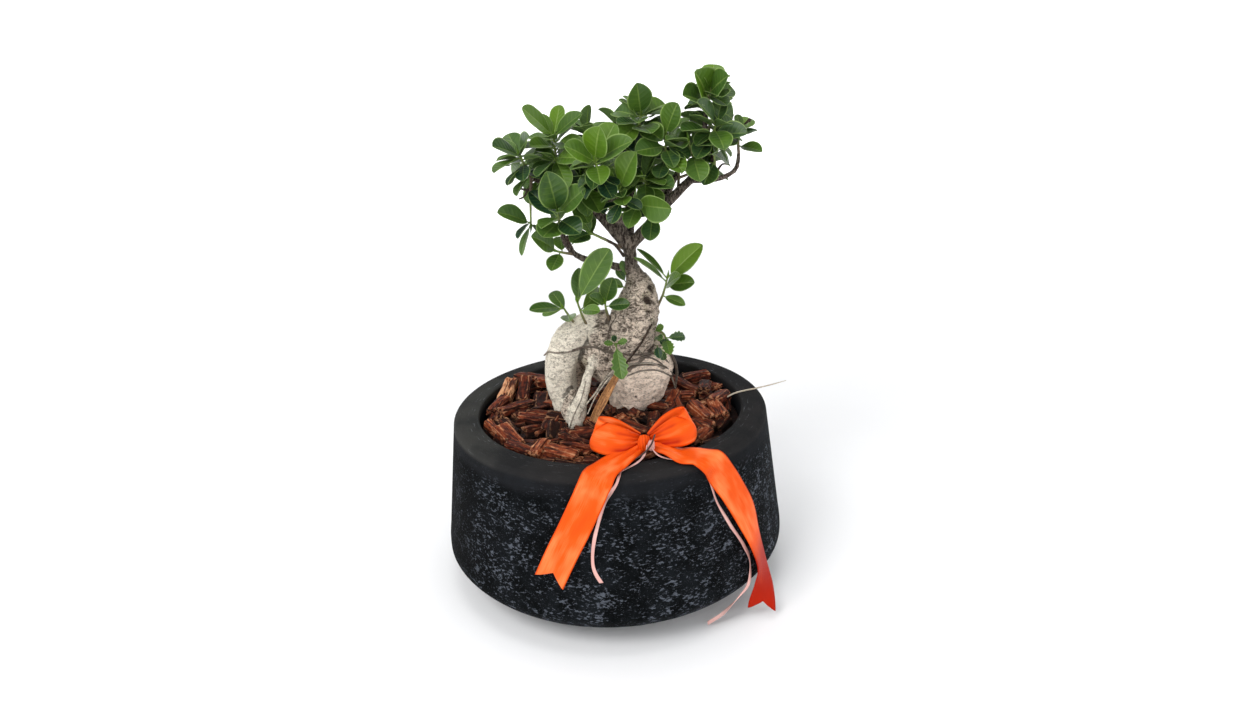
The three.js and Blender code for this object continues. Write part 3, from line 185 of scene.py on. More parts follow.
def carried_frames(rows: Rows, count: int) -> tuple[np.ndarray, np.ndarray, np.ndarray]:
    """Frames at even places on a curve, carried along it without twisting.

    Args:
        rows: The curve's rows, which start with x, y and z.
        count: How many frames.

    Returns:
        The curve's rows there, and the two directions across it.
    """
    t = np.linspace(0, 1, count)
    ahead = along(rows, np.minimum(t + NEARBY, 1))[:, :3]
    behind = along(rows, np.maximum(t - NEARBY, 0))[:, :3]
    tangent = unit(ahead - behind)
    guide = np.array([0.0, 1.0, 0.0]) if abs(tangent[0][1]) < STEEP else UP
    normals = []
    for direction in tangent:
        guide = square_to(direction, guide)
        normals.append(guide)
    normal = np.array(normals)
    return along(rows, t), normal, np.cross(tangent, normal)


def round_rings(rows: Rows, count: int, sides: int, lobes: float = 0.0,
                turns: float = 0.0) -> np.ndarray:
    """Rings of points round a curve.

    Args:
        rows: Rows of x, y, z and radius.
        count: Number of rings.
        sides: Points in a ring.
        lobes: How far low lobes swell the radius, as a share of it.
        turns: How many of the solid's stations the lobes wander through.

    Returns:
        Points as rings by sides by three.
    """
    middle, normal, side = carried_frames(rows, count)
    angle = np.arange(sides) / sides * TAU
    station = (np.linspace(0, 1, count) * turns)[:, None]
    wave = np.sin(3 * angle + 0.9 * station) + 0.6 * np.sin(5 * angle - 1.3 * station)
    radius = middle[:, 3:4] * (1 + lobes * wave)
    out = np.cos(angle)[None, :, None] * normal[:, None, :]
    out = out + np.sin(angle)[None, :, None] * side[:, None, :]
    return middle[:, None, :3] + radius[:, :, None] * out


def sheet_faces(rows: int, columns: int, start: int = 0) -> list[list[int]]:
    """Faces of a thin closed sheet whose points are an upper grid and then a lower one.

    Args:
        rows: Rows of points in each grid.
        columns: Points in a row.
        start: Corner at which the lower faces start, which sets the diagonals they split along.

    Returns:
        The faces of the upper side, the lower side and the edge all round.
    """
    index = np.arange(rows * columns).reshape(rows, columns)
    low = index.size
    quads = np.stack([index[:-1, :-1], index[:-1, 1:], index[1:, 1:], index[1:, :-1]],
                     -1).reshape(-1, 4)
    edge = np.concatenate([index[0, :-1], index[:-1, -1], index[-1, :0:-1], index[:0:-1, 0]])
    after = np.roll(edge, -1)
    rim = np.stack([edge, edge + low, after + low, after], 1)
    under = np.roll(quads[:, ::-1], start, axis=1) + low
    return quads.tolist() + under.tolist() + rim.tolist()


class Shape:
    """Collects closed bits of surface, with marks on their points, and turns them into one mesh."""

    def __init__(self) -> None:
        """Starts with nothing."""
        self.points: list[np.ndarray] = []
        self.faces: list[list[int]] = []
        self.finishes: list[int] = []
        self.marks: list[dict[str, np.ndarray]] = []
        self.count = 0

    def add(self, points: np.ndarray, faces: Sequence[Sequence[int]], finish: int = 0,
            **marks: np.ndarray | float) -> None:
        """Adds a bit of surface.

        Args:
            points: Its points.
            faces: Rows of indices into them.
            finish: Which of the piece's materials it takes.
            **marks: A number, or a row of three, for each point or for all of them.
        """
        self.faces += [[self.count + i for i in face] for face in faces]
        self.finishes += [finish] * len(faces)
        self.points.append(points)
        spread = {}
        for name, value in marks.items():
            value = np.asarray(value, float)
            wide = value.shape[-1:] == (3,) and (value.ndim == 1 or len(value) == len(points))
            spread[name] = np.broadcast_to(value, (len(points), 3) if wide else (len(points),))
        self.marks.append(spread)
        self.count += len(points)

    def loft(self, rings: np.ndarray, finish: int = 0, **marks: np.ndarray | float) -> None:
        """Adds a closed solid through rings of points, with a fan at each end.

        Args:
            rings: Points as rings by sides by three.
            finish: Which of the piece's materials it takes.
            **marks: Numbers for all points, each ring or each point of the rings, or triples.
        """
        count, sides = rings.shape[:2]
        points = np.vstack([rings.reshape(-1, 3), rings[:1].mean(1), rings[-1:].mean(1)])
        here = np.arange(sides)
        after = (here + 1) % sides
        quads = np.stack([here, after, after + sides, here + sides], 1)
        faces: list[list[int]] = []
        for ring in range(count - 1):
            faces += (quads + ring * sides).tolist()
        first, last, high = count * sides, count * sides + 1, (count - 1) * sides
        faces += np.stack([np.full(sides, first), after, here], 1).tolist()
        faces += np.stack([np.full(sides, last), high + here, high + after], 1).tolist()
        spread: dict[str, np.ndarray | float] = {}
        for name, value in marks.items():
            value = np.asarray(value, float)
            if value.ndim == 1 and len(value) == count:
                value = np.repeat(value[:, None], sides, axis=1)
            if value.ndim >= 2:
                flat = value.reshape(count * sides, *value.shape[2:])
                value = np.concatenate([flat, value[:1].mean(1), value[-1:].mean(1)])
            spread[name] = value
        self.add(points, faces, finish, **spread)

    def mesh(self, name: str, sharp: float | None = None) -> bpy.types.Object:
        """Makes the mesh object.

        Args:
            name: The piece's name.
            sharp: Edges that turn by more than this many degrees stay sharp, or None for none.

        Returns:
            The new object, in metres.
        """
        data = bpy.data.meshes.new(name)
        data.from_pydata((np.vstack(self.points) / 1000).tolist(), [], self.faces)
        data.polygons.foreach_set("use_smooth", np.ones(len(self.faces), bool))
        data.polygons.foreach_set("material_index", np.array(self.finishes, np.int32))
        names = {mark: values.ndim for marks in self.marks for mark, values in marks.items()}
        for mark, depth in names.items():
            blank = [(len(p), 3) if depth == 2 else (len(p),) for p in self.points]
            parts = [marks.get(mark, np.zeros(size)) for marks, size in zip(self.marks, blank)]
            mark_points(data, mark, np.concatenate(parts))
        if sharp is not None:
            data.set_sharp_from_angle(angle=math.radians(sharp))
        data.update()
        piece = bpy.data.objects.new(name, data)
        bpy.context.scene.collection.objects.link(piece)
        return piece


def mark_points(data: bpy.types.Mesh, name: str, values: np.ndarray) -> None:
    """Writes a number, or a row of three, on every point of a mesh.

    Args:
        data: The mesh.
        name: The mark's name.
        values: One for each point.
    """
    kind, part = ("FLOAT_VECTOR", "vector") if values.ndim == 2 else ("FLOAT", "value")
    layer = data.attributes.new(name, kind, "POINT")
    layer.data.foreach_set(part, np.ascontiguousarray(values, np.float32).ravel())


def apply_modifiers(piece: bpy.types.Object) -> None:
    """Replaces a piece's mesh by the one that its modifiers make.

    Args:
        piece: The piece.
    """
    graph = bpy.context.evaluated_depsgraph_get()
    made = bpy.data.meshes.new_from_object(piece.evaluated_get(graph))
    old = piece.data
    piece.modifiers.clear()
    piece.data = made
    made.name = piece.name
    bpy.data.meshes.remove(old)


def settled(piece: bpy.types.Object, slot: str, node: str,
            *materials: bpy.types.Material) -> bpy.types.Object:
    """Dresses a piece, lets it ride on the part and stand for its CAD node.

    Args:
        piece: The piece.
        slot: Not used.
        node: The node that it replaces.
        *materials: Its materials.

    Returns:
        The same piece.
    """
    if piece.data.materials:
        piece.data.materials.clear()
    for material in materials:
        piece.data.materials.append(material)
    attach(piece, "root")
    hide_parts(node)
    return piece


def report(piece: bpy.types.Object) -> None:
    """Logs a piece's number of faces and its size.

    Args:
        piece: The piece.
    """
    flat = np.empty(len(piece.data.vertices) * 3, np.float32)
    piece.data.vertices.foreach_get("co", flat)
    points = flat.reshape(-1, 3) * 1000
    size = points.max(0) - points.min(0)
    LOG.info("%s: %d faces, %.0f x %.0f x %.0f mm", piece.name, len(piece.data.polygons), *size)


# Shaders


def colour(red: float, green: float, blue: float) -> Colour:
    """A colour as the eye sees it, from 0 to 255, as the shader's linear numbers.

    Args:
        red: Red.
        green: Green.
        blue: Blue.

    Returns:
        The colour, with a full alpha.
    """
    parts = [part / 255 for part in (red, green, blue)]
    linear = [p / 12.92 if p <= 0.04045 else ((p + 0.055) / 1.055) ** 2.4 for p in parts]
    return (linear[0], linear[1], linear[2], 1.0)


class Value:
    """A shader socket that can be written in plain arithmetic."""

    def __init__(self, paint: "Paint", socket: bpy.types.NodeSocket) -> None:
        """Wraps a socket of a paint."""
        self.paint = paint
        self.socket = socket

    def __add__(self, other: "Value | float") -> "Value":
        """Sum."""
        return self.paint.maths("ADD", self, other)

    def __radd__(self, other: float) -> "Value":
        """Sum, with the number first."""
        return self.paint.maths("ADD", other, self)

    def __sub__(self, other: "Value | float") -> "Value":
        """Difference."""
        return self.paint.maths("SUBTRACT", self, other)

    def __rsub__(self, other: float) -> "Value":
        """Difference, with the number first."""
        return self.paint.maths("SUBTRACT", other, self)

    def __mul__(self, other: "Value | float") -> "Value":
        """Product."""
        return self.paint.maths("MULTIPLY", self, other)

    def __rmul__(self, other: float) -> "Value":
        """Product, with the number first."""
        return self.paint.maths("MULTIPLY", other, self)

    def __abs__(self) -> "Value":
        """Size without its sign."""
        return self.paint.maths("ABSOLUTE", self)


class Paint:
    """The node tree of one material."""

    def __init__(self, name: str) -> None:
        """Starts an empty material.

        Args:
            name: The material's name.
        """
        self.material = bpy.data.materials.new(name)
        self.material.use_nodes = True
        self.tree = self.material.node_tree
        self.tree.nodes.clear()

    def node(self, kind: str, settings: Mapping[str, Any] | None = None,
             inputs: Mapping[str | int, Any] | None = None) -> bpy.types.Node:
        """Adds a node.

        Args:
            kind: The node's type.
            settings: Its settings; stops are the places and colours of a ramp.
            inputs: Values or links for its sockets.

        Returns:
            The node.
        """
        made = self.tree.nodes.new(kind)
        for name, value in (settings or {}).items():
            if name == "stops":
                self.set_stops(made.color_ramp, value)
            else:
                setattr(made, name, value)
        for key, value in (inputs or {}).items():
            if isinstance(value, Value):
                self.tree.links.new(value.socket, made.inputs[key])
            else:
                made.inputs[key].default_value = value
        return made

    @staticmethod
    def set_stops(ramp: bpy.types.ColorRamp, stops: Sequence[tuple[float, Colour]]) -> None:
        """Sets the places and colours of a ramp.

        Args:
            ramp: The ramp.
            stops: Places from 0 to 1, each with its colour.
        """
        while len(ramp.elements) < len(stops):
            ramp.elements.new(1.0)
        for element, (place, shade) in zip(ramp.elements, stops):
            element.position = place
            element.color = shade

    def out(self, kind: str, settings: Mapping[str, Any] | None = None,
            inputs: Mapping[str | int, Any] | None = None, output: str | int = 0) -> Value:
        """Adds a node and gives one of its outputs."""
        return Value(self, self.node(kind, settings, inputs).outputs[output])

    def maths(self, operation: str, *values: Value | float) -> Value:
        """Result of a Math node on values in their order."""
        return self.out("ShaderNodeMath", {"operation": operation}, dict(enumerate(values)))

    def place(self, scale: Sequence[float] = (1, 1, 1)) -> Value:
        """Place on the object in millimetres, stretched by a scale."""
        here = self.out("ShaderNodeTexCoord", output="Object")
        return self.stretched(here, [1000 * s for s in scale])

    def stretched(self, vector: Value, scale: Sequence[float]) -> Value:
        """A vector stretched by a scale."""
        return self.out("ShaderNodeVectorMath", {"operation": "MULTIPLY"},
                        {0: vector, 1: tuple(scale)})

    def mark(self, name: str, output: str = "Fac") -> Value:
        """A number that was written on the points, or a row of three from the output Vector."""
        return self.out("ShaderNodeAttribute", {"attribute_name": name}, output=output)

    def parts(self, vector: Value) -> tuple[Value, Value, Value]:
        """The three numbers of a vector."""
        outputs = self.node("ShaderNodeSeparateXYZ", None, {0: vector}).outputs
        return Value(self, outputs[0]), Value(self, outputs[1]), Value(self, outputs[2])

    def noise(self, vector: Value, scale: float, detail: float = 3.0, roughness: float = 0.5,
              distortion: float = 0.0) -> Value:
        """Cloudy noise about 0.5, with its waves per unit of the vector."""
        inputs = {"Vector": vector, "Scale": scale, "Detail": detail, "Roughness": roughness}
        return self.out("ShaderNodeTexNoise", None, {**inputs, "Distortion": distortion})

    def step(self, value: Value, low: float, high: float) -> Value:
        """Smooth rise from 0 to 1 between two values.

        Args:
            value: The value.
            low: Where the rise starts.
            high: Where it ends.

        Returns:
            Numbers from 0 to 1.
        """
        settings = {"interpolation_type": "SMOOTHSTEP", "clamp": True}
        inputs = {"Value": value, "From Min": low, "From Max": high}
        return self.out("ShaderNodeMapRange", settings, inputs)

    def ramp(self, value: Value, stops: Sequence[tuple[float, Colour]]) -> Value:
        """A colour for each value."""
        return self.out("ShaderNodeValToRGB", {"stops": stops}, {0: value})

    def mix(self, share: Value | float, first: Value | Colour, second: Value | Colour,
            mode: str = "MIX") -> Value:
        """A blend of two colours, by the share of the second one."""
        settings = {"data_type": "RGBA", "blend_type": mode, "clamp_factor": True}
        return self.out("ShaderNodeMix", settings, {0: share, 6: first, 7: second}, 2)

    def bump(self, height: Value, distance: float, strength: float = 1.0,
             under: Value | None = None) -> Value:
        """A normal roughened by a height.

        Args:
            height: The height, about 0 to 1.
            distance: How many millimetres a height of 1 stands for.
            strength: Share of the effect.
            under: A normal that it adds to.

        Returns:
            The normal.
        """
        inputs: dict[str | int, Any] = {"Height": height, "Distance": distance / 1000,
                                        "Strength": strength}
        if under is not None:
            inputs["Normal"] = under
        return self.out("ShaderNodeBump", None, inputs)

    def finish(self, base: Value | Colour, roughness: Value | float, normal: Value | None = None,
               specular: float = 0.5,
               glow: tuple[Value, float] | None = None) -> bpy.types.Material:
        """Closes the tree with its surface.

        Args:
            base: Base colour.
            roughness: Roughness.
            normal: Normal, or None for the mesh's own.
            specular: Level of the mirror-like share.
            glow: Colour and strength of its own light, or None.

        Returns:
            The finished material.
        """
        inputs: dict[str | int, Any] = {"Base Color": base, "Roughness": roughness,
                                        "Specular IOR Level": specular}
        if normal is not None:
            inputs["Normal"] = normal
        if glow is not None:
            inputs["Emission Color"], inputs["Emission Strength"] = glow
        surface = self.out("ShaderNodeBsdfPrincipled", None, inputs)
        self.node("ShaderNodeOutputMaterial", None, {"Surface": surface})
        return self.material


# Finishes


@dataclass(frozen=True)
class StoneFinish:
    """Matt charcoal cast stone with blue-grey flecks on the side and a plain rim, with painted
    shade on its left flank and painted light on the left of its rim.
    """

    rim: Colour = colour(40, 39, 39)
    # Painted light on the left of the rim
    rim_painted_light: Colour = colour(54, 54, 52)
    band: Colour = colour(36, 37, 40)
    dark: Colour = colour(7, 9, 10)
    light: Colour = colour(20, 23, 26)
    # Colour of the painted shade on the pot's left flank
    shadow: Colour = colour(1, 2, 2)
    fleck: Colour = colour(92, 97, 106)
    speck: Colour = colour(126, 128, 134)
    band_low: float = 128.0
    band_high: float = 150.0
    rim_low: float = 161.0
    worn_at: float = 138.0

    def material(self) -> bpy.types.Material:
        """The pot's material.

        Returns:
            The finished material.
        """
        paint = Paint("charcoal_stone")
        spot = paint.place()
        x, y, height = paint.parts(spot)
        radius = paint.maths("SQRT", x * x + y * y)
        cloud = paint.noise(spot, 0.018, 4)
        patch = paint.noise(paint.place((0.7, 0.7, 1.0)), 0.07, 5, 0.6)
        grain = paint.noise(paint.place((0.5, 0.5, 1.0)), 0.5, 5, 0.64)
        shades = paint.step(paint.noise(spot, 0.05, 6, 0.6), 0.35, 0.68)
        ground = paint.mix(shades, self.dark, self.light)
        # Painted shade: the left flank fades to the shadow colour and carries fewer flecks
        ground = paint.mix(paint.step(x, -80, -160) * 0.9, ground, self.shadow)
        density = paint.step(height + 60 * (cloud - 0.5), self.band_high + 16, self.band_low)
        density = density * (0.45 + 0.55 * paint.step(x + 50 * cloud, -125, -75))
        flecked = paint.step(grain + patch * 0.45 + density * 0.03, 0.812, 0.868) * density
        fine = paint.step(paint.noise(paint.place((0.7, 0.7, 1.0)), 0.9, 5, 0.7), 0.6, 0.67)
        fine = fine * paint.step(height, 160, 134) * (0.3 + 0.6 * paint.step(x, 40, 120))
        flecks = flecked * (0.15 + 1.3 * paint.noise(spot, 0.4, 6, 0.75))
        base = paint.mix(flecks, ground, self.fleck)
        base = paint.mix(fine, base, self.speck)
        smooth = paint.step(height + 16 * (cloud - 0.5), self.band_low + 17, self.band_high + 6)
        base = paint.mix(smooth * 0.5, base, self.band)
        on_rim = paint.step(height + 1.5 * cloud, self.rim_low, self.rim_low + 5.5)
        bearing = paint.maths("ARCTAN2", x, 0 - y)
        around = paint.out("ShaderNodeCombineXYZ", None, {0: bearing * 9, 1: radius * 0.7})
        scratch = paint.step(paint.noise(around, 1.0, 6, 0.75), 0.58, 0.66)
        worn = paint.step(abs(radius - self.worn_at), 7, 1)
        # Painted light: the rim is lighter on its left side
        rim = paint.mix(paint.step(x + 60 * (cloud - 0.5), -60, -130), self.rim, self.rim_painted_light)
        rim = paint.mix(scratch * (0.12 + 0.6 * worn), rim, self.speck)
        rim = paint.mix(paint.step(cloud, 0.4, 0.62) * 0.45, rim, self.light)
        base = paint.mix(on_rim, base, rim)
        brushed = paint.noise(paint.place((0.04, 0.04, 1.0)), 0.9, 4, 0.6)
        pits = paint.noise(spot, 0.7, 5, 0.7)
        relief = brushed * 0.4 + pits * 0.6 + flecked * 0.35
        rough = 0.6 + 0.22 * grain + 0.1 * flecked
        return paint.finish(base, rough, paint.bump(relief, 0.8), 0.02)


@dataclass(frozen=True)
class SoilFinish:
    """Dark crumbly potting mix."""

    dark: Colour = colour(26, 17, 11)
    light: Colour = colour(74, 52, 36)

    def material(self) -> bpy.types.Material:
        """The soil's material.

        Returns:
            The finished material.
        """
        paint = Paint("potting_mix")
        crumb = paint.noise(paint.place(), 0.35, 8, 0.7)
        base = paint.mix(paint.step(crumb, 0.4, 0.68), self.dark, self.light)
        return paint.finish(base, 0.95, paint.bump(crumb, 2.0))


@dataclass(frozen=True)
class ChipFinish:
    """Red-brown bark chips along their own grain, with painted tan highlights on their edges and
    painted shade low down towards the bed.
    """

    dark: Colour = colour(36, 11, 6)
    middle: Colour = colour(102, 42, 23)
    light: Colour = colour(150, 73, 40)
    tan: Colour = colour(204, 150, 110)
    # Near-black colour of the painted shade where chips sink towards the bed
    bed: Colour = colour(14, 5, 3)

    def material(self) -> bpy.types.Material:
        """The chips' material.

        Returns:
            The finished material.
        """
        paint = Paint("bark_chips")
        grain = paint.mark("grain", "Vector")
        tone = paint.mark("tone")
        edge = paint.mark("edge")
        depth = paint.mark("depth")
        fibre = paint.noise(paint.stretched(grain, (0.14, 1.0, 1.0)), 0.42, 7, 0.66, 0.6)
        blotch = paint.noise(grain, 0.16, 4, 0.6)
        layers = paint.noise(paint.stretched(grain, (0.05, 0.25, 1.6)), 0.8, 3, 0.5)
        level = tone * 0.8 + (fibre - 0.5) * 1.5 + (blotch - 0.5) * 1.0
        stops = ((0.14, self.dark), (0.46, self.middle), (0.74, self.light), (1.0, self.tan))
        base = paint.ramp(level, stops)
        # Painted highlight: tan along the chips' edges and ends
        worn = paint.step(edge * 0.4 + blotch * 0.5 + fibre * 0.6, 0.8, 0.96)
        base = paint.mix(worn * 0.5, base, self.tan)
        base = paint.mix(paint.step(fibre, 0.51, 0.4) * 0.9, base, self.dark)
        # Painted shade: chips darken where they sink towards the bed
        base = paint.mix(depth, base, self.bed)
        relief = fibre * 0.7 + layers * 0.5 + blotch * 0.3
        normal = paint.bump(relief, 1.8)
        return paint.finish(base, 0.5 + 0.4 * fibre, normal, 0.16)


@dataclass(frozen=True)
class BarkFinish:
    """Pale beige skin of swollen roots, rougher on the trunk and grey-brown on the branches."""

    pale: Colour = colour(246, 237, 218)
    beige: Colour = colour(222, 205, 186)
    pink: Colour = colour(255, 234, 214)
    stone: Colour = colour(210, 194, 176)
    grey: Colour = colour(126, 112, 98)
    neck: Colour = colour(142, 130, 118)
    neck_dark: Colour = colour(54, 46, 40)
    # Colour of cracks, also used for painted shade in hollows
    crack_and_shade: Colour = colour(46, 34, 26)
    moss: Colour = colour(118, 118, 74)
    wrap: Colour = colour(92, 76, 64)
    scar: Colour = colour(44, 32, 25)
    neck_low: float = 284.0
    neck_high: float = 318.0

    def material(self) -> bpy.types.Material:
        """The trunk's material.

        Returns:
            The finished material.
        """
        paint = Paint("ficus_bark")
        spot = paint.place()
        height = paint.parts(spot)[2]
        pale = paint.mark("pale")
        bulb = paint.mark("bulb")
        hollow = paint.mark("hollow")
        scar = paint.mark("scar")
        wrap = paint.mark("wrap")
        cloud = paint.noise(spot, 0.045, 5, 0.6)
        mottle = paint.noise(spot, 0.27, 7, 0.72)
        grit = paint.noise(spot, 1.05, 6, 0.75)
        pits = paint.noise(spot, 0.62, 6, 0.74, 0.3)
        rings = paint.noise(paint.place((0.45, 0.45, 1.0)), 0.7, 6, 0.75, 0.8)
        ridge = abs(paint.noise(paint.place((0.4, 0.4, 1.0)), 0.2, 4, 0.6, 0.5) - 0.5)
        light = paint.maths("MAXIMUM", pale, bulb)
        body = paint.mix(paint.step(cloud, 0.4, 0.62), self.stone, self.beige)
        body = paint.mix(paint.step(mottle, 0.5, 0.64) * 0.6, body, self.grey)
        body = paint.mix(paint.step(mottle, 0.42, 0.3) * 0.7, body, self.pink)
        ball = paint.mix(paint.step(mottle, 0.5, 0.66) * 0.35, self.pink, self.beige)
        leg = paint.mix(paint.step(mottle, 0.46, 0.68) * 0.5, self.pale, self.beige)
        base = paint.mix(bulb, body, ball)
        base = paint.mix(pale, base, leg)
        mossy = paint.step(paint.noise(paint.place((1.1, 1.0, 0.9)), 0.06, 4, 0.6), 0.54, 0.66)
        base = paint.mix(mossy * 0.34 * (1 - 0.75 * light), base, self.moss)
        rough_skin = 1 - 0.62 * light
        cracks = paint.step(rings, 0.56, 0.61) * rough_skin
        base = paint.mix(cracks * 0.5, base, self.crack_and_shade)
        lines = paint.step(ridge, 0.034, 0.012) * paint.step(mottle, 0.42, 0.5) * rough_skin
        base = paint.mix(lines * 0.75, base, self.crack_and_shade)
        specks = paint.step(pits, 0.58, 0.61) * (0.5 + 0.5 * rough_skin)
        base = paint.mix(specks * 0.85, base, self.crack_and_shade)
        grains = paint.step(grit, 0.57, 0.63)
        base = paint.mix(grains * (0.12 + 0.44 * rough_skin), base, self.crack_and_shade)
        rise = paint.step(height + 26 * (cloud - 0.5) + 10 * (mottle - 0.5), self.neck_low,
                          self.neck_high)
        bark = paint.noise(paint.place((1.0, 1.0, 0.35)), 0.55, 6, 0.7)
        neck = paint.mix(paint.step(bark, 0.4, 0.62), self.neck_dark, self.neck)
        neck = paint.mix(paint.step(grit, 0.6, 0.72) * 0.4, neck, self.beige)
        base = paint.mix(rise, base, neck)
        strand = paint.mix(paint.step(mottle, 0.4, 0.62), self.neck_dark, self.wrap)
        base = paint.mix(wrap, base, strand)
        # Painted shade: hollows and creases of the skin darken towards the crack colour
        base = paint.mix(paint.step(hollow, 0.2, 0.85) * 0.75, base, self.crack_and_shade)
        base = paint.mix(scar, base, self.scar)
        relief = mottle * 0.8 + grit * 0.4 - specks * 0.5 - cracks * 0.5 - lines * 0.6
        relief = relief + bark * rise * 0.35
        normal = paint.bump(relief, 2.3)
        return paint.finish(base, 0.7 + 0.2 * mottle, normal, 0.18)


@dataclass(frozen=True)
class LeafFinish:
    """Waxy ficus leaf: dark green, with a paler midrib, faint side veins and a paler rim."""

    dark: Colour = colour(21, 51, 34)
    green: Colour = colour(74, 104, 36)
    fresh: Colour = colour(98, 134, 6)
    rib: Colour = colour(138, 162, 80)
    rim: Colour = colour(134, 160, 86)
    under: Colour = colour(98, 124, 70)
    veins: float = 8.0

    def material(self) -> bpy.types.Material:
        """The leaves' material.

        Returns:
            The finished material.
        """
        paint = Paint("ficus_leaf")
        length, across, side = paint.parts(paint.mark("place", "Vector"))
        tone = paint.mark("tone")
        fresh = paint.mark("fresh")
        out = abs(across)
        cloud = paint.noise(paint.place(), 0.09, 3, 0.5)
        level = paint.step(cloud * 0.7 + tone * 0.6, 0.35, 0.95)
        base = paint.mix(level, self.dark, self.green)
        base = paint.mix(fresh, base, self.fresh)
        under = paint.step(side, 0.0, -0.5)
        base = paint.mix(under * 0.55, base, self.under)
        phase = (length * self.veins - out * 1.5) * TAU
        wave = paint.maths("SINE", phase)
        vein = paint.step(wave, 0.86, 1.0) * paint.step(out, 1.0, 0.2)
        base = paint.mix(vein * 0.16, base, self.rib)
        base = paint.mix(paint.step(out, 0.085, 0.02) * (0.32 + 0.4 * fresh), base, self.rib)
        base = paint.mix(paint.step(out, 0.86, 0.97) * 0.85, base, self.rim)
        # Painted shade: one half of each blade is darker, as if its fold turned it from the light
        base = paint.mix(paint.step(across, -0.04, 0.06) * 0.2, base, self.dark)
        spots = paint.noise(paint.place(), 0.9, 3, 0.6)
        base = paint.mix(paint.step(spots, 0.62, 0.75) * 0.15, base, self.dark)
        relief = wave * 0.16 + paint.step(out, 0.12, 0.0) * -0.5 + spots * 0.16
        rough = 0.3 + 0.16 * cloud + 0.2 * under
        normal = paint.bump(relief, 0.6, 0.7)
        return paint.finish(base, rough, normal, 0.33)


@dataclass(frozen=True)
class StemFinish:
    """Young stems, green at the tip and brown-grey lower down."""

    green: Colour = colour(112, 130, 62)
    brown: Colour = colour(104, 88, 70)
    speck: Colour = colour(168, 150, 122)

    def material(self) -> bpy.types.Material:
        """The stems' material.

        Returns:
            The finished material.
        """
        paint = Paint("young_stem")
        grain = paint.noise(paint.place((1, 1, 0.4)), 1.1, 5, 0.6)
        share = paint.step(paint.mark("young") + 0.4 * (grain - 0.5), 0.15, 0.85)
        base = paint.mix(share, self.brown, self.green)
        base = paint.mix(paint.step(grain, 0.58, 0.7) * 0.4, base, self.speck)
        return paint.finish(base, 0.6, paint.bump(grain, 0.4))


@dataclass(frozen=True)
class SatinFinish:
    """Satin ribbon: fine ribs across, painted highlights in soft clouds, and painted shade where it
    turns away and in its creases.
    """

    name: str
    # The first colour is painted highlight, the second the satin's own colour, the third painted
    # shade
    glow: Colour
    bright: Colour
    painted_shade: Colour
    roughness: float = 0.38
    gloss: float = 0.16
    rib: float = 0.42

    def material(self) -> bpy.types.Material:
        """The ribbon's material.

        Returns:
            The finished material.
        """
        paint = Paint(self.name)
        cloth = paint.mark("cloth", "Vector")
        run, across, _ = paint.parts(cloth)
        shade = paint.mark("shade")
        ribs = paint.maths("SINE", run * (TAU / self.rib)) * 0.5 + 0.5
        threads = paint.noise(paint.stretched(cloth, (0.06, 2.2, 1)), 1.0, 3, 0.5)
        selvage = paint.step(abs(across), 12.6, 13.4)
        soft = paint.noise(paint.stretched(cloth, (0.028, 0.06, 1)), 1.0, 2)
        # Painted light: soft clouds pull the colour towards the painted highlight, and the shade
        # marks towards painted shade
        share = 0.25 + shade * 0.8 + 0.25 * (threads - 0.5) + 0.85 * (soft - 0.5) + 0.2 * selvage
        base = paint.ramp(share, ((0.0, self.glow), (0.3, self.bright), (1.0, self.painted_shade)))
        rough = self.roughness + 0.12 * (threads - 0.5) + 0.1 * selvage
        normal = paint.bump(ribs * 0.6 + threads * 0.5 + selvage * 0.5, 0.05)
        return paint.finish(base, rough, normal, self.gloss)


@dataclass(frozen=True)
class DryFinish:
    """Dry plant stuff: fibres along it, in two shades."""

    name: str
    light: Colour
    dark: Colour
    roughness: float = 0.7

    def material(self) -> bpy.types.Material:
        """The dry piece's material.

        Returns:
            The finished material.
        """
        paint = Paint(self.name)
        cloth = paint.mark("cloth", "Vector")
        fibre = paint.noise(paint.stretched(cloth, (0.07, 1.4, 1.4)), 1.0, 6, 0.65)
        spots = paint.noise(paint.place(), 0.5, 4, 0.6)
        share = paint.step(fibre * 0.7 + spots * 0.3, 0.36, 0.66)
        base = paint.mix(share, self.dark, self.light)
        return paint.finish(base, self.roughness, paint.bump(fibre, 0.5))


@dataclass(frozen=True)
class FloorFinish:
    """Plain pale studio floor, whose far parts glow a little to stay as pale as the near."""

    pale: Colour = colour(250, 250, 250)
    shade: Colour = colour(246, 246, 247)
    glow: float = 0.55
    far: tuple[float, float] = (4.0e5, 4.5e6)

    def material(self) -> bpy.types.Material:
        """The floor's material.

        Returns:
            The finished material.
        """
        paint = Paint("studio_floor")
        base = paint.mix(paint.noise(paint.place(), 0.004, 2), self.pale, self.shade)
        x, y, _ = paint.parts(paint.place())
        far = paint.step(x * x + y * y, *self.far)
        light = paint.mix(far, colour(0, 0, 0), self.pale)
        return paint.finish(base, 0.9, None, 0.0, (light, self.glow))


# The pot, its soil and the mulch


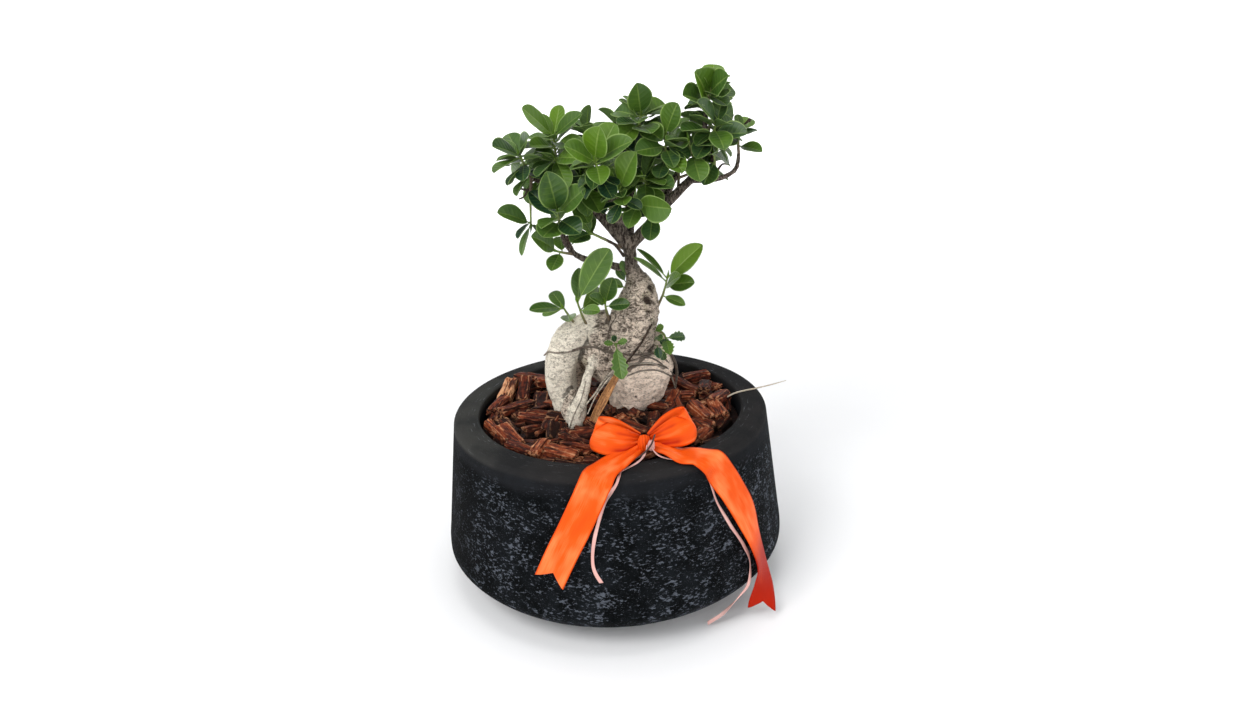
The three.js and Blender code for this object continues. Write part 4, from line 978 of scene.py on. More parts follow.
@dataclass
class Pot:
    """Thick-walled pot with a flat rim, a flared side and a rounded undercut."""

    height: float = 170.0
    rim_outer: float = 157.0
    rim_inner: float = 131.7
    rim_round: float = 6.0
    mouth_round: float = 2.0
    belly: float = 173.0
    belly_height: float = 37.0
    foot: float = 124.0
    under_curve: float = 1.35
    under_spread: float = 1.6
    floor: float = 22.0
    inner_floor: float = 108.0
    inner_corner: float = 60.0
    drain_radius: float = 6.0
    drain_at: float = 70.0
    drains: int = 3
    drain_turn: float = 0.5
    drill_past: float = 4.0
    foot_bevel: Rows = ((1.2, 0.0), (0.3, 0.25))
    shoulder: Rows = ((173.0, 41.0), (172.7, 46.0), (172.0, 51.5), (170.9, 58.5))
    rim_rings: tuple[float, ...] = (146.0, 141.0, 137.0)
    inner_high: float = 120.0
    floor_rings: tuple[float, ...] = (80.0, 50.0)
    sides: int = 180

    def profile(self) -> np.ndarray:
        """The pot's outline, from the middle of its underside to its inner floor.

        Returns:
            Rows of radius and height.
        """
        line = [(self.foot - inward, z) for inward, z in self.foot_bevel]
        for share in np.linspace(0.04, 1, 20):
            z = self.belly_height * share ** self.under_spread
            drop = 1 - z / self.belly_height
            reach = (1 - drop ** self.under_curve) ** (1 / self.under_curve)
            line.append((self.foot + (self.belly - self.foot) * reach, z))
        line += self.shoulder
        wide, low = self.shoulder[-1]
        wall_top = self.height - self.rim_round
        for share in np.linspace(0.1, 1, 12):
            line.append((between((wide, self.rim_outer), share), between((low, wall_top), share)))
        for angle in np.linspace(0, TAU / 4, 9)[1:]:
            line.append((self.rim_outer - self.rim_round * (1 - math.cos(angle)),
                         wall_top + self.rim_round * math.sin(angle)))
        mouth = self.rim_inner + self.mouth_round
        line += [(radius, self.height) for radius in self.rim_rings]
        for angle in np.linspace(0, TAU / 4, 6):
            line.append((mouth - self.mouth_round * math.sin(angle),
                         self.height - self.mouth_round * (1 - math.cos(angle))))
        line += [(self.rim_inner, self.inner_high), (self.rim_inner, self.inner_corner)]
        line += [(radius, self.floor) for radius in (self.inner_floor, *self.floor_rings)]
        return np.array(line)

    def build(self, finish: StoneFinish) -> bpy.types.Object:
        """Turns the pot, drills its drainage holes and dresses it.

        Args:
            finish: Its finish.

        Returns:
            The pot.
        """
        shape = Shape()
        shape.loft(turned(self.profile(), self.sides))
        pot = shape.mesh("stone_pot", sharp=40)
        drills = Shape()
        for i in range(self.drains):
            angle = i / self.drains * TAU + self.drain_turn
            x, y = self.drain_at * math.cos(angle), self.drain_at * math.sin(angle)
            ends = (-self.drill_past, self.floor + self.drill_past)
            rows = [[x, y, z, self.drain_radius] for z in ends]
            drills.loft(round_rings(rows, 2, 32))
        cutter = drills.mesh("drill")
        cut = pot.modifiers.new("drain", "BOOLEAN")
        cut.operation, cut.solver, cut.object = "DIFFERENCE", "EXACT", cutter
        apply_modifiers(pot)
        bpy.data.objects.remove(cutter)
        return settled(pot, "pot", "pot", finish.material())

    def wall_at(self, z: float) -> float:
        """Radius of the pot's side at a height above its belly."""
        share = (z - self.belly_height) / (self.height - self.rim_round - self.belly_height)
        return between((self.belly, self.rim_outer), share)


def turned(profile: np.ndarray, sides: int) -> np.ndarray:
    """Rings of points that turn an outline of radius and height about the upright axis.

    Args:
        profile: Rows of radius and height.
        sides: Points in a ring.

    Returns:
        The rings.
    """
    angle = np.arange(sides) / sides * TAU
    ring = np.stack([np.cos(angle), np.sin(angle)], 1)
    flat = profile[:, None, :1] * ring[None]
    return np.dstack([flat, np.repeat(profile[:, 1:2], sides, axis=1)])


@dataclass
class Chip:
    """One bark chip: where it lies, its size, how it is turned and how its ends differ."""

    x: float
    y: float
    middle: float
    foot: float
    long: float
    wide: float
    thick: float
    yaw: float
    tilt: float
    roll: float
    jitter: list[float]
    tone: float | None = None

    def turn(self) -> np.ndarray:
        """Its turning matrix: roll about its length, then tilt, then yaw."""
        yaw, tilt = Matrix.Rotation(self.yaw, 3, "Z"), Matrix.Rotation(self.tilt, 3, "Y")
        return np.array(yaw @ tilt @ Matrix.Rotation(self.roll, 3, "X"))


# Single chips: x, y, height, length, width, thickness, heading, tilt and how light they are
CHIPS: Rows = [
    [-110, -44, 163, 40, 8, 9, -57, 4, 0.85], [-109, 42, 170, 34, 15, 9, 81, -16, 1.15],
    [-97, 4, 166, 42, 13, 9, 45, 6, 0.45], [-88, 74, 171, 38, 15, 9, -14, 3, 0.4],
    [-92, 44, 171, 34, 13, 8, 88, -22, 0.35], [-65, -87, 164, 26, 13, 10, 73, -4, 0.85],
    [-43, -98, 164, 32, 17, 11, -27, 3, 0.72], [-27, -78, 167, 52, 5, 5, -33, 2, 0.35],
    [-27, -90, 167, 42, 4.5, 5, -27, -3, 0.55], [-32, -70, 167, 36, 4.5, 4, -57, 5, 0.4],
    [-94, -60, 164, 36, 15, 11, -57, 8, 0.6], [-58, -36, 164, 26, 13, 10, 72, -8, 0.35],
    [62, 2, 165, 34, 13, 9, 70, -20, 0.62], [90, -22, 166, 32, 15, 10, -65, 5, 0.66],
    [106, -14, 166, 36, 14, 10, -80, 4, 0.75], [94, 70, 167, 28, 13, 9, 15, -5, 0.4],
    [112, 7, 168, 30, 14, 10, 60, 6, 0.45], [80, 46, 166, 35, 12, 9, -46, 7, 0.5],
    [-66, 62, 170, 32, 14, 9, 20, 12, 0.55], [-116, 14, 166, 30, 12, 9, 70, -6, 0.5],
    [-76, -20, 164, 34, 13, 9, -12, 6, 0.5], [-84, -82, 163, 28, 12, 9, -35, 5, 0.45],
    [74, 20, 165, 30, 12, 9, -20, -8, 0.7], [100, 40, 167, 30, 13, 9, 80, 6, 0.3],
]


# Stations from one end of a chip to the other, how full it is there, and the points of each side
CHIP_STATIONS = np.array([-1, -0.98, -0.8, -0.5, -0.17, 0.17, 0.5, 0.8, 0.98, 1])
CHIP_FULLNESS = np.array([0.84, 0.97, 1.0, 1.0, 1.0, 1.0, 1.0, 1.0, 0.97, 0.84])
CHIP_SIDE = np.array([0.04, 0.28, 0.5, 0.72, 0.96])
# How much painted edge highlight each point of a ring's sides gets
CHIP_EDGE_HIGHLIGHT = np.tile([1.0, 0.2, 0.0, 0.2, 1.0], 6) * 0.8


@dataclass
class Mulch:
    """Bark chips lying on a low mound, with smaller ones in between."""

    bed_thick: float = 6.0
    bed_radius: float = 129.5
    mound: float = 8.0
    bed_sunk: float = 2.5
    heap: tuple[float, float, float, float] = (30.0, -104.0, 12.0, 27.0)
    count: int = 70
    seed: int = 4171
    reach: float = 116.0
    apart: float = 19.0
    tries: int = 60
    edge: float = 103.0
    edge_turn: float = 0.6
    lift: tuple[float, float] = (-1.0, 2.5)
    long: tuple[float, float] = (20.0, 36.0)
    shrink: float = 0.4
    wide: tuple[float, float] = (10.0, 18.0)
    thick: tuple[float, float] = (9.0, 13.0)
    tilt: float = 26.0
    roll: float = 50.0
    small_count: int = 125
    small_seed: int = 77
    small_reach: float = 122.0
    small_apart: float = 13.5
    small_edge: float = 106.0
    small_turn: float = 0.7
    small_lift: tuple[float, float] = (1.0, 6.5)
    small_long: tuple[float, float] = (15.0, 32.0)
    small_wide: tuple[float, float] = (8.0, 14.0)
    small_thick: tuple[float, float] = (3.0, 6.0)
    small_tilt: float = 34.0
    chosen_jitter: float = 0.6
    chosen_roll: float = 16.0
    shade_depth: float = 10.5
    crumbs: float = 1.4
    rough: float = 0.16
    torn: float = 0.09
    bow_rest: float = 171.8
    bow_room: tuple[float, float, float] = (30.0, -112.0, 60.0)

    def bed_at(self, radius: float) -> float:
        """Height of the bed at a distance from the middle."""
        return SOIL_TOP + GAP + self.bed_thick + self.mound * (1 - (radius / self.bed_radius) ** 2)

    def heap_at(self, x: float, y: float) -> float:
        """How much higher the chips are heaped at a place, under the bow."""
        hx, hy, height, wide = self.heap
        return height * math.exp(-((x - hx) ** 2 + (y - hy) ** 2) / wide**2)

    def spot(self, dice: Dice, reach: float, taken: list[Chip],
             apart: float) -> tuple[float, float]:
        """The roomiest of a few random places.

        Args:
            dice: The random numbers.
            reach: Farthest distance from the middle.
            taken: Chips that it keeps away from.
            apart: A distance that is roomy enough.

        Returns:
            Its x and y.
        """
        best, best_gap = (0.0, 0.0), -1.0
        for _ in range(self.tries):
            radius = reach * math.sqrt(dice.roll())
            angle = TAU * dice.roll()
            x, y = radius * math.cos(angle), radius * math.sin(angle)
            gap = min([math.hypot(c.x - x, c.y - y) for c in taken], default=BEYOND)
            if gap > best_gap:
                best, best_gap = (x, y), gap
            if gap > apart:
                break
        return best

    def large_chips(self) -> list[Chip]:
        """The chips of the solid, in the same places.

        Returns:
            The chips.
        """
        dice = Dice(self.seed)
        chips: list[Chip] = []
        for i in range(self.count):
            x, y = self.spot(dice, self.reach, chips, self.apart)
            lift = between(self.lift, dice.roll())
            long = between(self.long, dice.roll() * (1 - self.shrink * i / self.count))
            wide, thick = between(self.wide, dice.roll()), between(self.thick, dice.roll())
            if math.hypot(x, y) > self.edge:
                yaw = math.atan2(y, x) + TAU / 4 + dice.spread(self.edge_turn)
            else:
                yaw = TAU * dice.roll()
            tilt, roll = math.radians(dice.spread(self.tilt)), math.radians(dice.spread(self.roll))
            heap = self.heap_at(x, y)
            middle = self.bed_at(math.hypot(x, y)) + 0.7 * heap + lift
            foot = -0.5 * thick - 0.5 * heap
            chips.append(Chip(x, y, middle, foot, long, wide, thick, yaw, tilt, roll,
                              dice.jitter()))
        return chips

    def small_chips(self) -> list[Chip]:
        """Smaller chips that fill in between the large ones.

        Returns:
            The chips.
        """
        dice = Dice(self.small_seed)
        chips: list[Chip] = []
        for _ in range(self.small_count):
            x, y = self.spot(dice, self.small_reach, chips, self.small_apart)
            radius = math.hypot(x, y)
            slender = dice.roll()
            long = dice.within(*self.small_long) * (0.7 + 0.5 * slender)
            wide = dice.within(*self.small_wide) * (1.1 - 0.6 * slender)
            thick = dice.within(*self.small_thick)
            yaw = TAU * dice.roll()
            if radius > self.small_edge:
                yaw = math.atan2(y, x) + TAU / 4 + dice.spread(self.small_turn)
            tilt = math.radians(dice.spread(self.small_tilt))
            roll = math.radians(dice.spread(self.roll))
            middle = self.bed_at(radius) + 0.85 * self.heap_at(x, y) + dice.within(*self.small_lift)
            chips.append(Chip(x, y, middle, -0.5 * thick, long, wide, thick, yaw, tilt, roll,
                              dice.jitter()))
        return chips

    def chosen_chips(self) -> list[Chip]:
        """The chips that the photo shows one by one, on top of the others.

        Returns:
            The chips.
        """
        dice = Dice(self.small_seed + 5)
        chips = []
        for x, y, middle, long, wide, thick, yaw, tilt, tone in CHIPS:
            jitter = dice.jitter(self.chosen_jitter)
            turn, lean = math.radians(yaw), math.radians(tilt)
            roll = math.radians(dice.spread(self.chosen_roll))
            chips.append(Chip(x, y, middle, -0.5 * thick, long, wide, thick, turn, lean, roll,
                              jitter, tone))
        return chips

    def rings(self, chip: Chip) -> tuple[np.ndarray, np.ndarray]:
        """Rings of a split chip with chamfered, slanting ends, in its own coordinates.

        Args:
            chip: The chip.

        Returns:
            Its rings, and how much of an edge each point is.
        """
        first, last = np.array(chip.jitter[:4]), np.array(chip.jitter[4:])
        rings, edges = [], []
        for place, full in zip(CHIP_STATIONS, CHIP_FULLNESS):
            a, b, c, d = first + (last - first) * (place + 1) / 2
            left, right = -chip.wide * (0.5 + 0.2 * b), chip.wide * (0.5 + 0.2 * c)
            crest = chip.wide * 0.16 * d
            thin = 0.94 + 0.06 * math.cos(2.3 * place + 9 * a)
            corners = np.array([
                [left, chip.foot], [right, chip.foot],
                [right * 0.97, chip.thick * (0.26 + 0.16 * a)],
                [crest + 0.33 * chip.wide, chip.thick * (0.5 + 0.1 * c) * thin],
                [crest - 0.33 * chip.wide, chip.thick * (0.53 + 0.08 * d) * thin],
                [left * 0.97, chip.thick * (0.24 - 0.16 * b)],
            ])
            shares = CHIP_SIDE[None, :, None]
            ring = corners[:, None] * (1 - shares) + np.roll(corners, -1, axis=0)[:, None] * shares
            ring = ring.reshape(-1, 2)
            centre = corners.mean(0)
            ring = centre + (ring - centre) * full
            near = first if place < 0 else last
            end = chip.long * (0.5 + 0.14 * near[0]) * place
            slant = ring[:, 0] * (0.5 * near[1]) * abs(place)
            torn = np.sin(np.arange(len(ring)) * (7.3 + 3 * first[2]) + 5 * last[3] + place)
            slant = slant + self.torn * min(chip.wide, 10) * torn * (abs(place) > 0.7)
            rings.append(np.column_stack([end + slant, ring]))
            edges.append(CHIP_EDGE_HIGHLIGHT + (0.5 if abs(place) > 0.9 else 0.0))
        return np.array(rings), np.array(edges)

    def add_chip(self, shape: Shape, chip: Chip, dice: Dice) -> None:
        """Adds a chip to the mulch, with a torn and knocked surface, and clear of the bow.

        Args:
            shape: The mulch's shape.
            chip: The chip.
            dice: Random numbers for its tone.
        """
        local, edge = self.rings(chip)
        offset = np.array([dice.within(-90, 90) for _ in range(3)])
        flat = local.reshape(-1, 3)
        coarse = (flat * (0.06, 0.3, 0.3) + offset).tolist()
        fine = (flat * (0.12, 0.8, 0.8) + offset).tolist()
        knocks = [noise.noise(Vector(a)) + 0.8 * noise.noise(Vector(b))
                  for a, b in zip(coarse, fine)]
        centre = local.mean(axis=1, keepdims=True)
        push = unit((local - centre) * (0.2, 1, 1) + 1e-6)
        size = self.rough * min(chip.thick, 7)
        rings = local + push * np.array(knocks).reshape(local.shape[:2])[..., None] * size
        placed = rings @ chip.turn().T + (chip.x, chip.y, chip.middle)
        placed[..., 2] = np.maximum(placed[..., 2], SOIL_TOP + GAP)
        hx, hy, room = self.bow_room
        if math.hypot(chip.x - hx, chip.y - hy) < room + 20:
            inside = np.hypot(placed[..., 0] - hx, placed[..., 1] - hy) < room
            low = np.where(inside, self.bow_rest - 0.1, BEYOND)
            placed[..., 2] = np.minimum(placed[..., 2], low)
        radius = np.hypot(placed[..., 0], placed[..., 1])
        shrink = np.minimum(1, self.bed_radius / np.maximum(radius, 1))
        placed[..., :2] *= shrink[..., None]
        # Painted shade: each chip's low part, near the bed, is marked to darken
        bed = self.bed_at(math.hypot(chip.x, chip.y)) + 0.8 * self.heap_at(chip.x, chip.y)
        depth = eased(placed[..., 2], bed + self.shade_depth, bed) * 0.96
        tone = dice.roll() ** 1.15 if chip.tone is None else chip.tone
        shape.loft(placed, tone=tone, grain=local + offset, edge=edge, depth=depth)

    def bed(self, shape: Shape) -> None:
        """Adds the crumbly bed under the chips.

        Args:
            shape: The mulch's shape.
        """
        radii = np.linspace(self.bed_radius, 2, 26)
        line = [(2.0, SOIL_TOP + GAP), (self.bed_radius, SOIL_TOP + GAP)]
        line += [(r, self.bed_at(r) - self.bed_sunk) for r in radii]
        rings = turned(np.array(line), 120)
        top = rings[2:]
        bumps = [noise.noise(Vector(p) * 0.16) for p in top.reshape(-1, 3).tolist()]
        top[..., 2] += self.crumbs * np.array(bumps).reshape(top.shape[:2])
        top[0, :, 2] = np.maximum(top[0, :, 2], SOIL_TOP + 2)
        # The bed itself is painted almost black, as painted shade under the chips
        shape.loft(rings, tone=0.3, grain=rings, edge=0.0, depth=0.85)

    def build(self, finish: ChipFinish) -> bpy.types.Object:
        """Lays the bed and the chips.

        Args:
            finish: Their finish.

        Returns:
            The mulch.
        """
        shape = Shape()
        dice = Dice(self.seed + 1)
        self.bed(shape)
        for chip in self.large_chips() + self.small_chips() + self.chosen_chips():
            self.add_chip(shape, chip, dice)
        return settled(shape.mesh("bark_chips", sharp=24), "mulch", "bark_mulch", finish.material())


# The tree

ROOTS: dict[str, Rows] = {
    "leg": [[2, 10, 252, 13], [-20, 6, 250, 15], [-38, 1, 237, 16.5], [-47, -1, 216, 16],
            [-48, -3, 193, 14.5], [-44.5, -9, 170, 11.8], [-41, -14, 146, 10.5]],
    "strand": [[-12, -10, 224, 4.4], [-20, -18, 207, 4.4], [-26, -25, 191, 5.8],
               [-31, -29, 176, 7.6], [-34, -32, 162, 8.6], [-35, -32, 146, 8.8]],
    "lump": [[-9, 14, 250, 13], [-10, 8, 240, 17], [-8, 4, 224, 20], [-3, 4, 208, 17],
             [2, 8, 196, 10]],
    "bulb": [[42, 20, 236, 12], [44, 18, 221, 20], [38, 14, 203, 27], [28, 11, 183, 27],
             [20, 10, 164, 22], [18, 10, 146, 17]],
    "back_root": [[30, 18, 246, 12], [34, 34, 226, 12], [32, 44, 200, 11], [26, 50, 174, 10],
                  [22, 52, 146, 10]],
    "left_back_root": [[-16, 18, 244, 11], [-26, 30, 222, 11], [-30, 36, 196, 10],
                       [-30, 38, 170, 9], [-30, 38, 146, 9]],
    "torso": [[8, 10, 212, 24], [12, 10, 226, 27], [19, 8, 244, 28], [26, 7, 263, 26],
              [31, 6, 280, 21],
              [32, 5, 294, 15], [28, 4, 307, 10.3], [26, 3, 320, 8.4], [25, 2, 333, 8.4],
              [25, 2, 341, 6.5]],
    "knob": [[40, -6, 276, 4], [44, -12, 274, 5], [46, -15, 272, 2.5]],
}
ROOT_STATIONS = {"torso": 11, "bulb": 7, "leg": 8, "lump": 5}
BRANCHES: dict[str, Rows] = {
    "left_up": [[24, 2, 330, 6], [10, 4, 348, 5.4], [-3, 6, 363, 4.8], [-16, 8, 380, 4.3],
                [-31, 8, 397, 3.4]],
    "left_far": [[-14, 8, 378, 3.4], [-38, 3, 390, 3], [-52, -1, 394, 2.6], [-63, -6, 399, 2.2]],
    "mid_up": [[24, 2, 336, 4.8], [17, 0, 354, 4.2], [11, -4, 373, 3.6], [6, -6, 395, 3],
               [4, -4, 414, 2.4]],
    "mid_top": [[8, -5, 390, 2.8], [18, -2, 406, 2.6], [28, 0, 418, 2.4], [33, 0, 429, 2]],
    "right_up": [[27, 2, 332, 6], [44, -2, 350, 5.3], [57, -4, 366, 4.7], [72, -6, 381, 4.2],
                 [85, -6, 393, 4]],
    "right_top": [[84, -6, 391, 3.7], [90, -8, 407, 3.2], [95, -8, 423, 2.7], [97, -10, 444, 2.3],
                  [98, -10, 457, 1.8]],
    "right_out": [[84, -6, 392, 3.6], [104, -4, 391, 2.9], [119, 0, 394, 2.3], [127, 2, 401, 1.9],
                  [129, 4, 414, 1.4]],
    "centre_up": [[50, -3, 357, 3.2], [56, -6, 380, 2.8], [58, -8, 392, 2.4], [59, -10, 404, 2]],
    "low_left": [[20, 6, 306, 4.2], [1, 4, 315, 3.5], [-15, 0, 319, 3.2], [-27, -4, 327, 2.9],
                 [-34, -8, 338, 2.6], [-38, -10, 353, 2.2]],
    "front_twig": [[50, -2, 356, 3.2], [46, -10, 364, 2.7], [36, -20, 369, 2.5],
                   [20, -32, 378, 2.2], [7, -36, 394, 2], [2, -36, 402, 1.7]],
    "back_left": [[6, 5, 352, 4], [-12, 26, 372, 3.4], [-24, 40, 384, 2.8], [-34, 50, 394, 2.2]],
    "back_mid": [[25, 4, 334, 5], [28, 26, 360, 4.2], [31, 44, 386, 3.2], [34, 56, 410, 2.2]],
    "back_right": [[56, -2, 365, 4], [66, 16, 382, 3.3], [74, 30, 394, 2.6], [80, 40, 402, 2]],
}
# Limbs of the skin that differ from the solid: a slimmer waist, and webs in between
SKIN: dict[str, Rows] = {
    **ROOTS,
    "torso": [[8, 10, 212, 24], [13, 9, 226, 26], [23, 6, 244, 24.5], [30, 6, 263, 22.5],
              [33.5, 6, 280, 18.5],
              [32.5, 5, 292, 14], [29.5, 4.5, 300, 9.6], [26.8, 4, 309, 6.8], [26, 3, 320, 6],
              [25, 2, 333, 6.8], [25, 2, 341, 6.2]],
    "web": [[-35, -15, 193, 3], [-37, -18, 182, 8], [-38, -22, 168, 10.5], [-38, -23, 146, 11]],
    "saddle": [[-16, 4, 242, 15], [-3, 3, 240, 16.5], [8, 4, 240, 17]],
}
# Thin aerial roots pressed against the swollen ones, each with how dark it is
WRAPS: dict[str, tuple[float, Rows]] = {
    "band": (0.8,
             [[-34, -13, 233, 1.0], [-13, -16, 235, 1.1], [0, -17, 230, 1.1], [14, -19, 229, 1.2],
                   [33, -13, 225, 1.2], [54, -2, 219, 1.2], [64, 10, 200, 1.2]]),
    "cross": (1.0,
              [[44, -10, 256, 1.1], [34, -18.6, 240, 1.2], [24, -17.6, 226, 1.1],
               [14, -16, 212, 0.9]]),
    "rootlet": (0.2,
                [[8, -16, 212, 1.1], [-6, -25, 199, 0.9], [-20, -33, 186, 0.8],
                 [-30, -38, 172, 0.8]]),
    "low_band": (0.55,
                 [[6, -17, 214, 0.9], [26, -14, 215, 1.2], [46, -8, 213, 1.2], [63, 6, 200, 1.1]]),
    "leg_tie": (0.6,
                [[-63, -3, 225, 0.7], [-58, -11, 230, 0.9], [-47, -17, 232, 1.0],
                 [-34, -15, 232, 0.9],
                      [-26, -12, 232, 0.8]]),
    "torso_tie": (0.8,
                  [[10, -17, 263, 0.5], [4, -13, 254, 0.7], [1, -15, 243, 0.7],
                   [4, -17, 232, 0.7]]),
    "side_band": (0.75,
                  [[20, -18, 219, 0.7], [36, -14, 221, 0.9], [52, -5, 213, 0.9],
                   [64, 8, 194, 0.9]]),
    "shoulder": (0.9,
                 [[12, -15, 208, 0.8], [26, -10, 213, 1.1], [43, -8, 213, 1.1], [57, -1, 208, 1.1],
                       [66, 9, 194, 0.9]]),
    "low_shoulder": (0.65,
                     [[18, -14, 203, 0.6], [33, -12, 208, 0.9], [50, -8, 206, 0.9],
                      [62, 0, 196, 0.9],
                            [67, 8, 180, 0.7]]),
    "strand_line": (0.5, [[-22, -23.5, 204, 0.5], [-27, -31, 189, 0.6], [-35, -36, 174, 0.7],
                          [-40, -38, 160, 0.7]]),
    "bulb_edge": (0.9,
                  [[58, -4, 226, 1.3], [66, 4, 212, 1.6], [69, 10, 196, 1.6], [67, 12, 180, 1.2]]),
}
# Bare twigs and cut stubs
TWIGS: dict[str, Rows] = {
    "left_twig": [[-62, -5, 391, 1.4], [-66, -5, 388, 1.3], [-75, -4, 390, 0.7]],
    "left_fork": [[-66, -5, 388, 1.1], [-70, -5, 382, 0.9], [-75, -5, 380, 0.6]],
    "low_stub": [[-29, -5, 331, 1.9], [-32, -9, 340, 1.9], [-32, -11, 345, 1.3]],
    "low_fork": [[-32, -9, 338, 1.3], [-27, -12, 344, 1.0], [-25, -13, 347, 0.6]],
    "cut_stub": [[101, -4, 393, 2.1], [104, -2, 405, 1.9], [105, -1, 415, 2.3]],
    "knob_stick": [[127, 2, 424, 0.9], [132, 1, 436, 0.9], [137, 0, 441, 1.6], [139, 0, 443, 0.9]],
    "right_twig": [[107, -3, 396, 1.3], [113, -2, 404, 0.9], [120, -1, 403, 0.6]],
    "hanging_twig": [[76, -5, 412, 0.9], [75, -4, 404, 0.8], [76, -4, 397, 0.6]],
    "green_shoot": [[20, -3, 322, 1.5], [11, -8, 335, 1.2], [-2, -10, 343, 1.0],
                    [-13, -11, 349, 0.7]],
    "leg_root_a": [[-33, -40, 163, 1.0], [-38, -45, 160, 0.8], [-45, -52, 159, 0.4]],
    "leg_root_b": [[-29, -41, 163, 1.0], [-25, -48, 161, 0.8], [-19, -54, 160, 0.4]],
    "leg_root_c": [[-31, -42, 161, 0.9], [-34, -50, 160, 0.7], [-36, -57, 160, 0.4]],
    "pale_rootlet": [[8, -18, 212, 0.8], [-3, -27, 203, 0.7], [-13, -36, 192, 0.6],
                     [-21, -44, 178, 0.5]],
}
PEGS = ((-45, -3, 9), (-31, -33, 5), (19, 10, 15), (22, 52, 8), (-30, 38, 7))


@dataclass(frozen=True)
class Scar:
    """A knot, pit or hole in the bark."""

    x: float
    y: float
    z: float
    radius: float
    depth: float
    ring: float
    dark: float


# Lumps of the bark: height, waves per millimetre, a shift, and whether smooth pale skin damps them
LUMPS = ((1.3, (0.05, 0.05, 0.05), 0, False), (1.0, (0.16, 0.16, 0.2), 0, True),
         (0.6, (0.4, 0.4, 0.7), 0, True), (0.4, (0.04, 0.04, 0.33), 9, False))


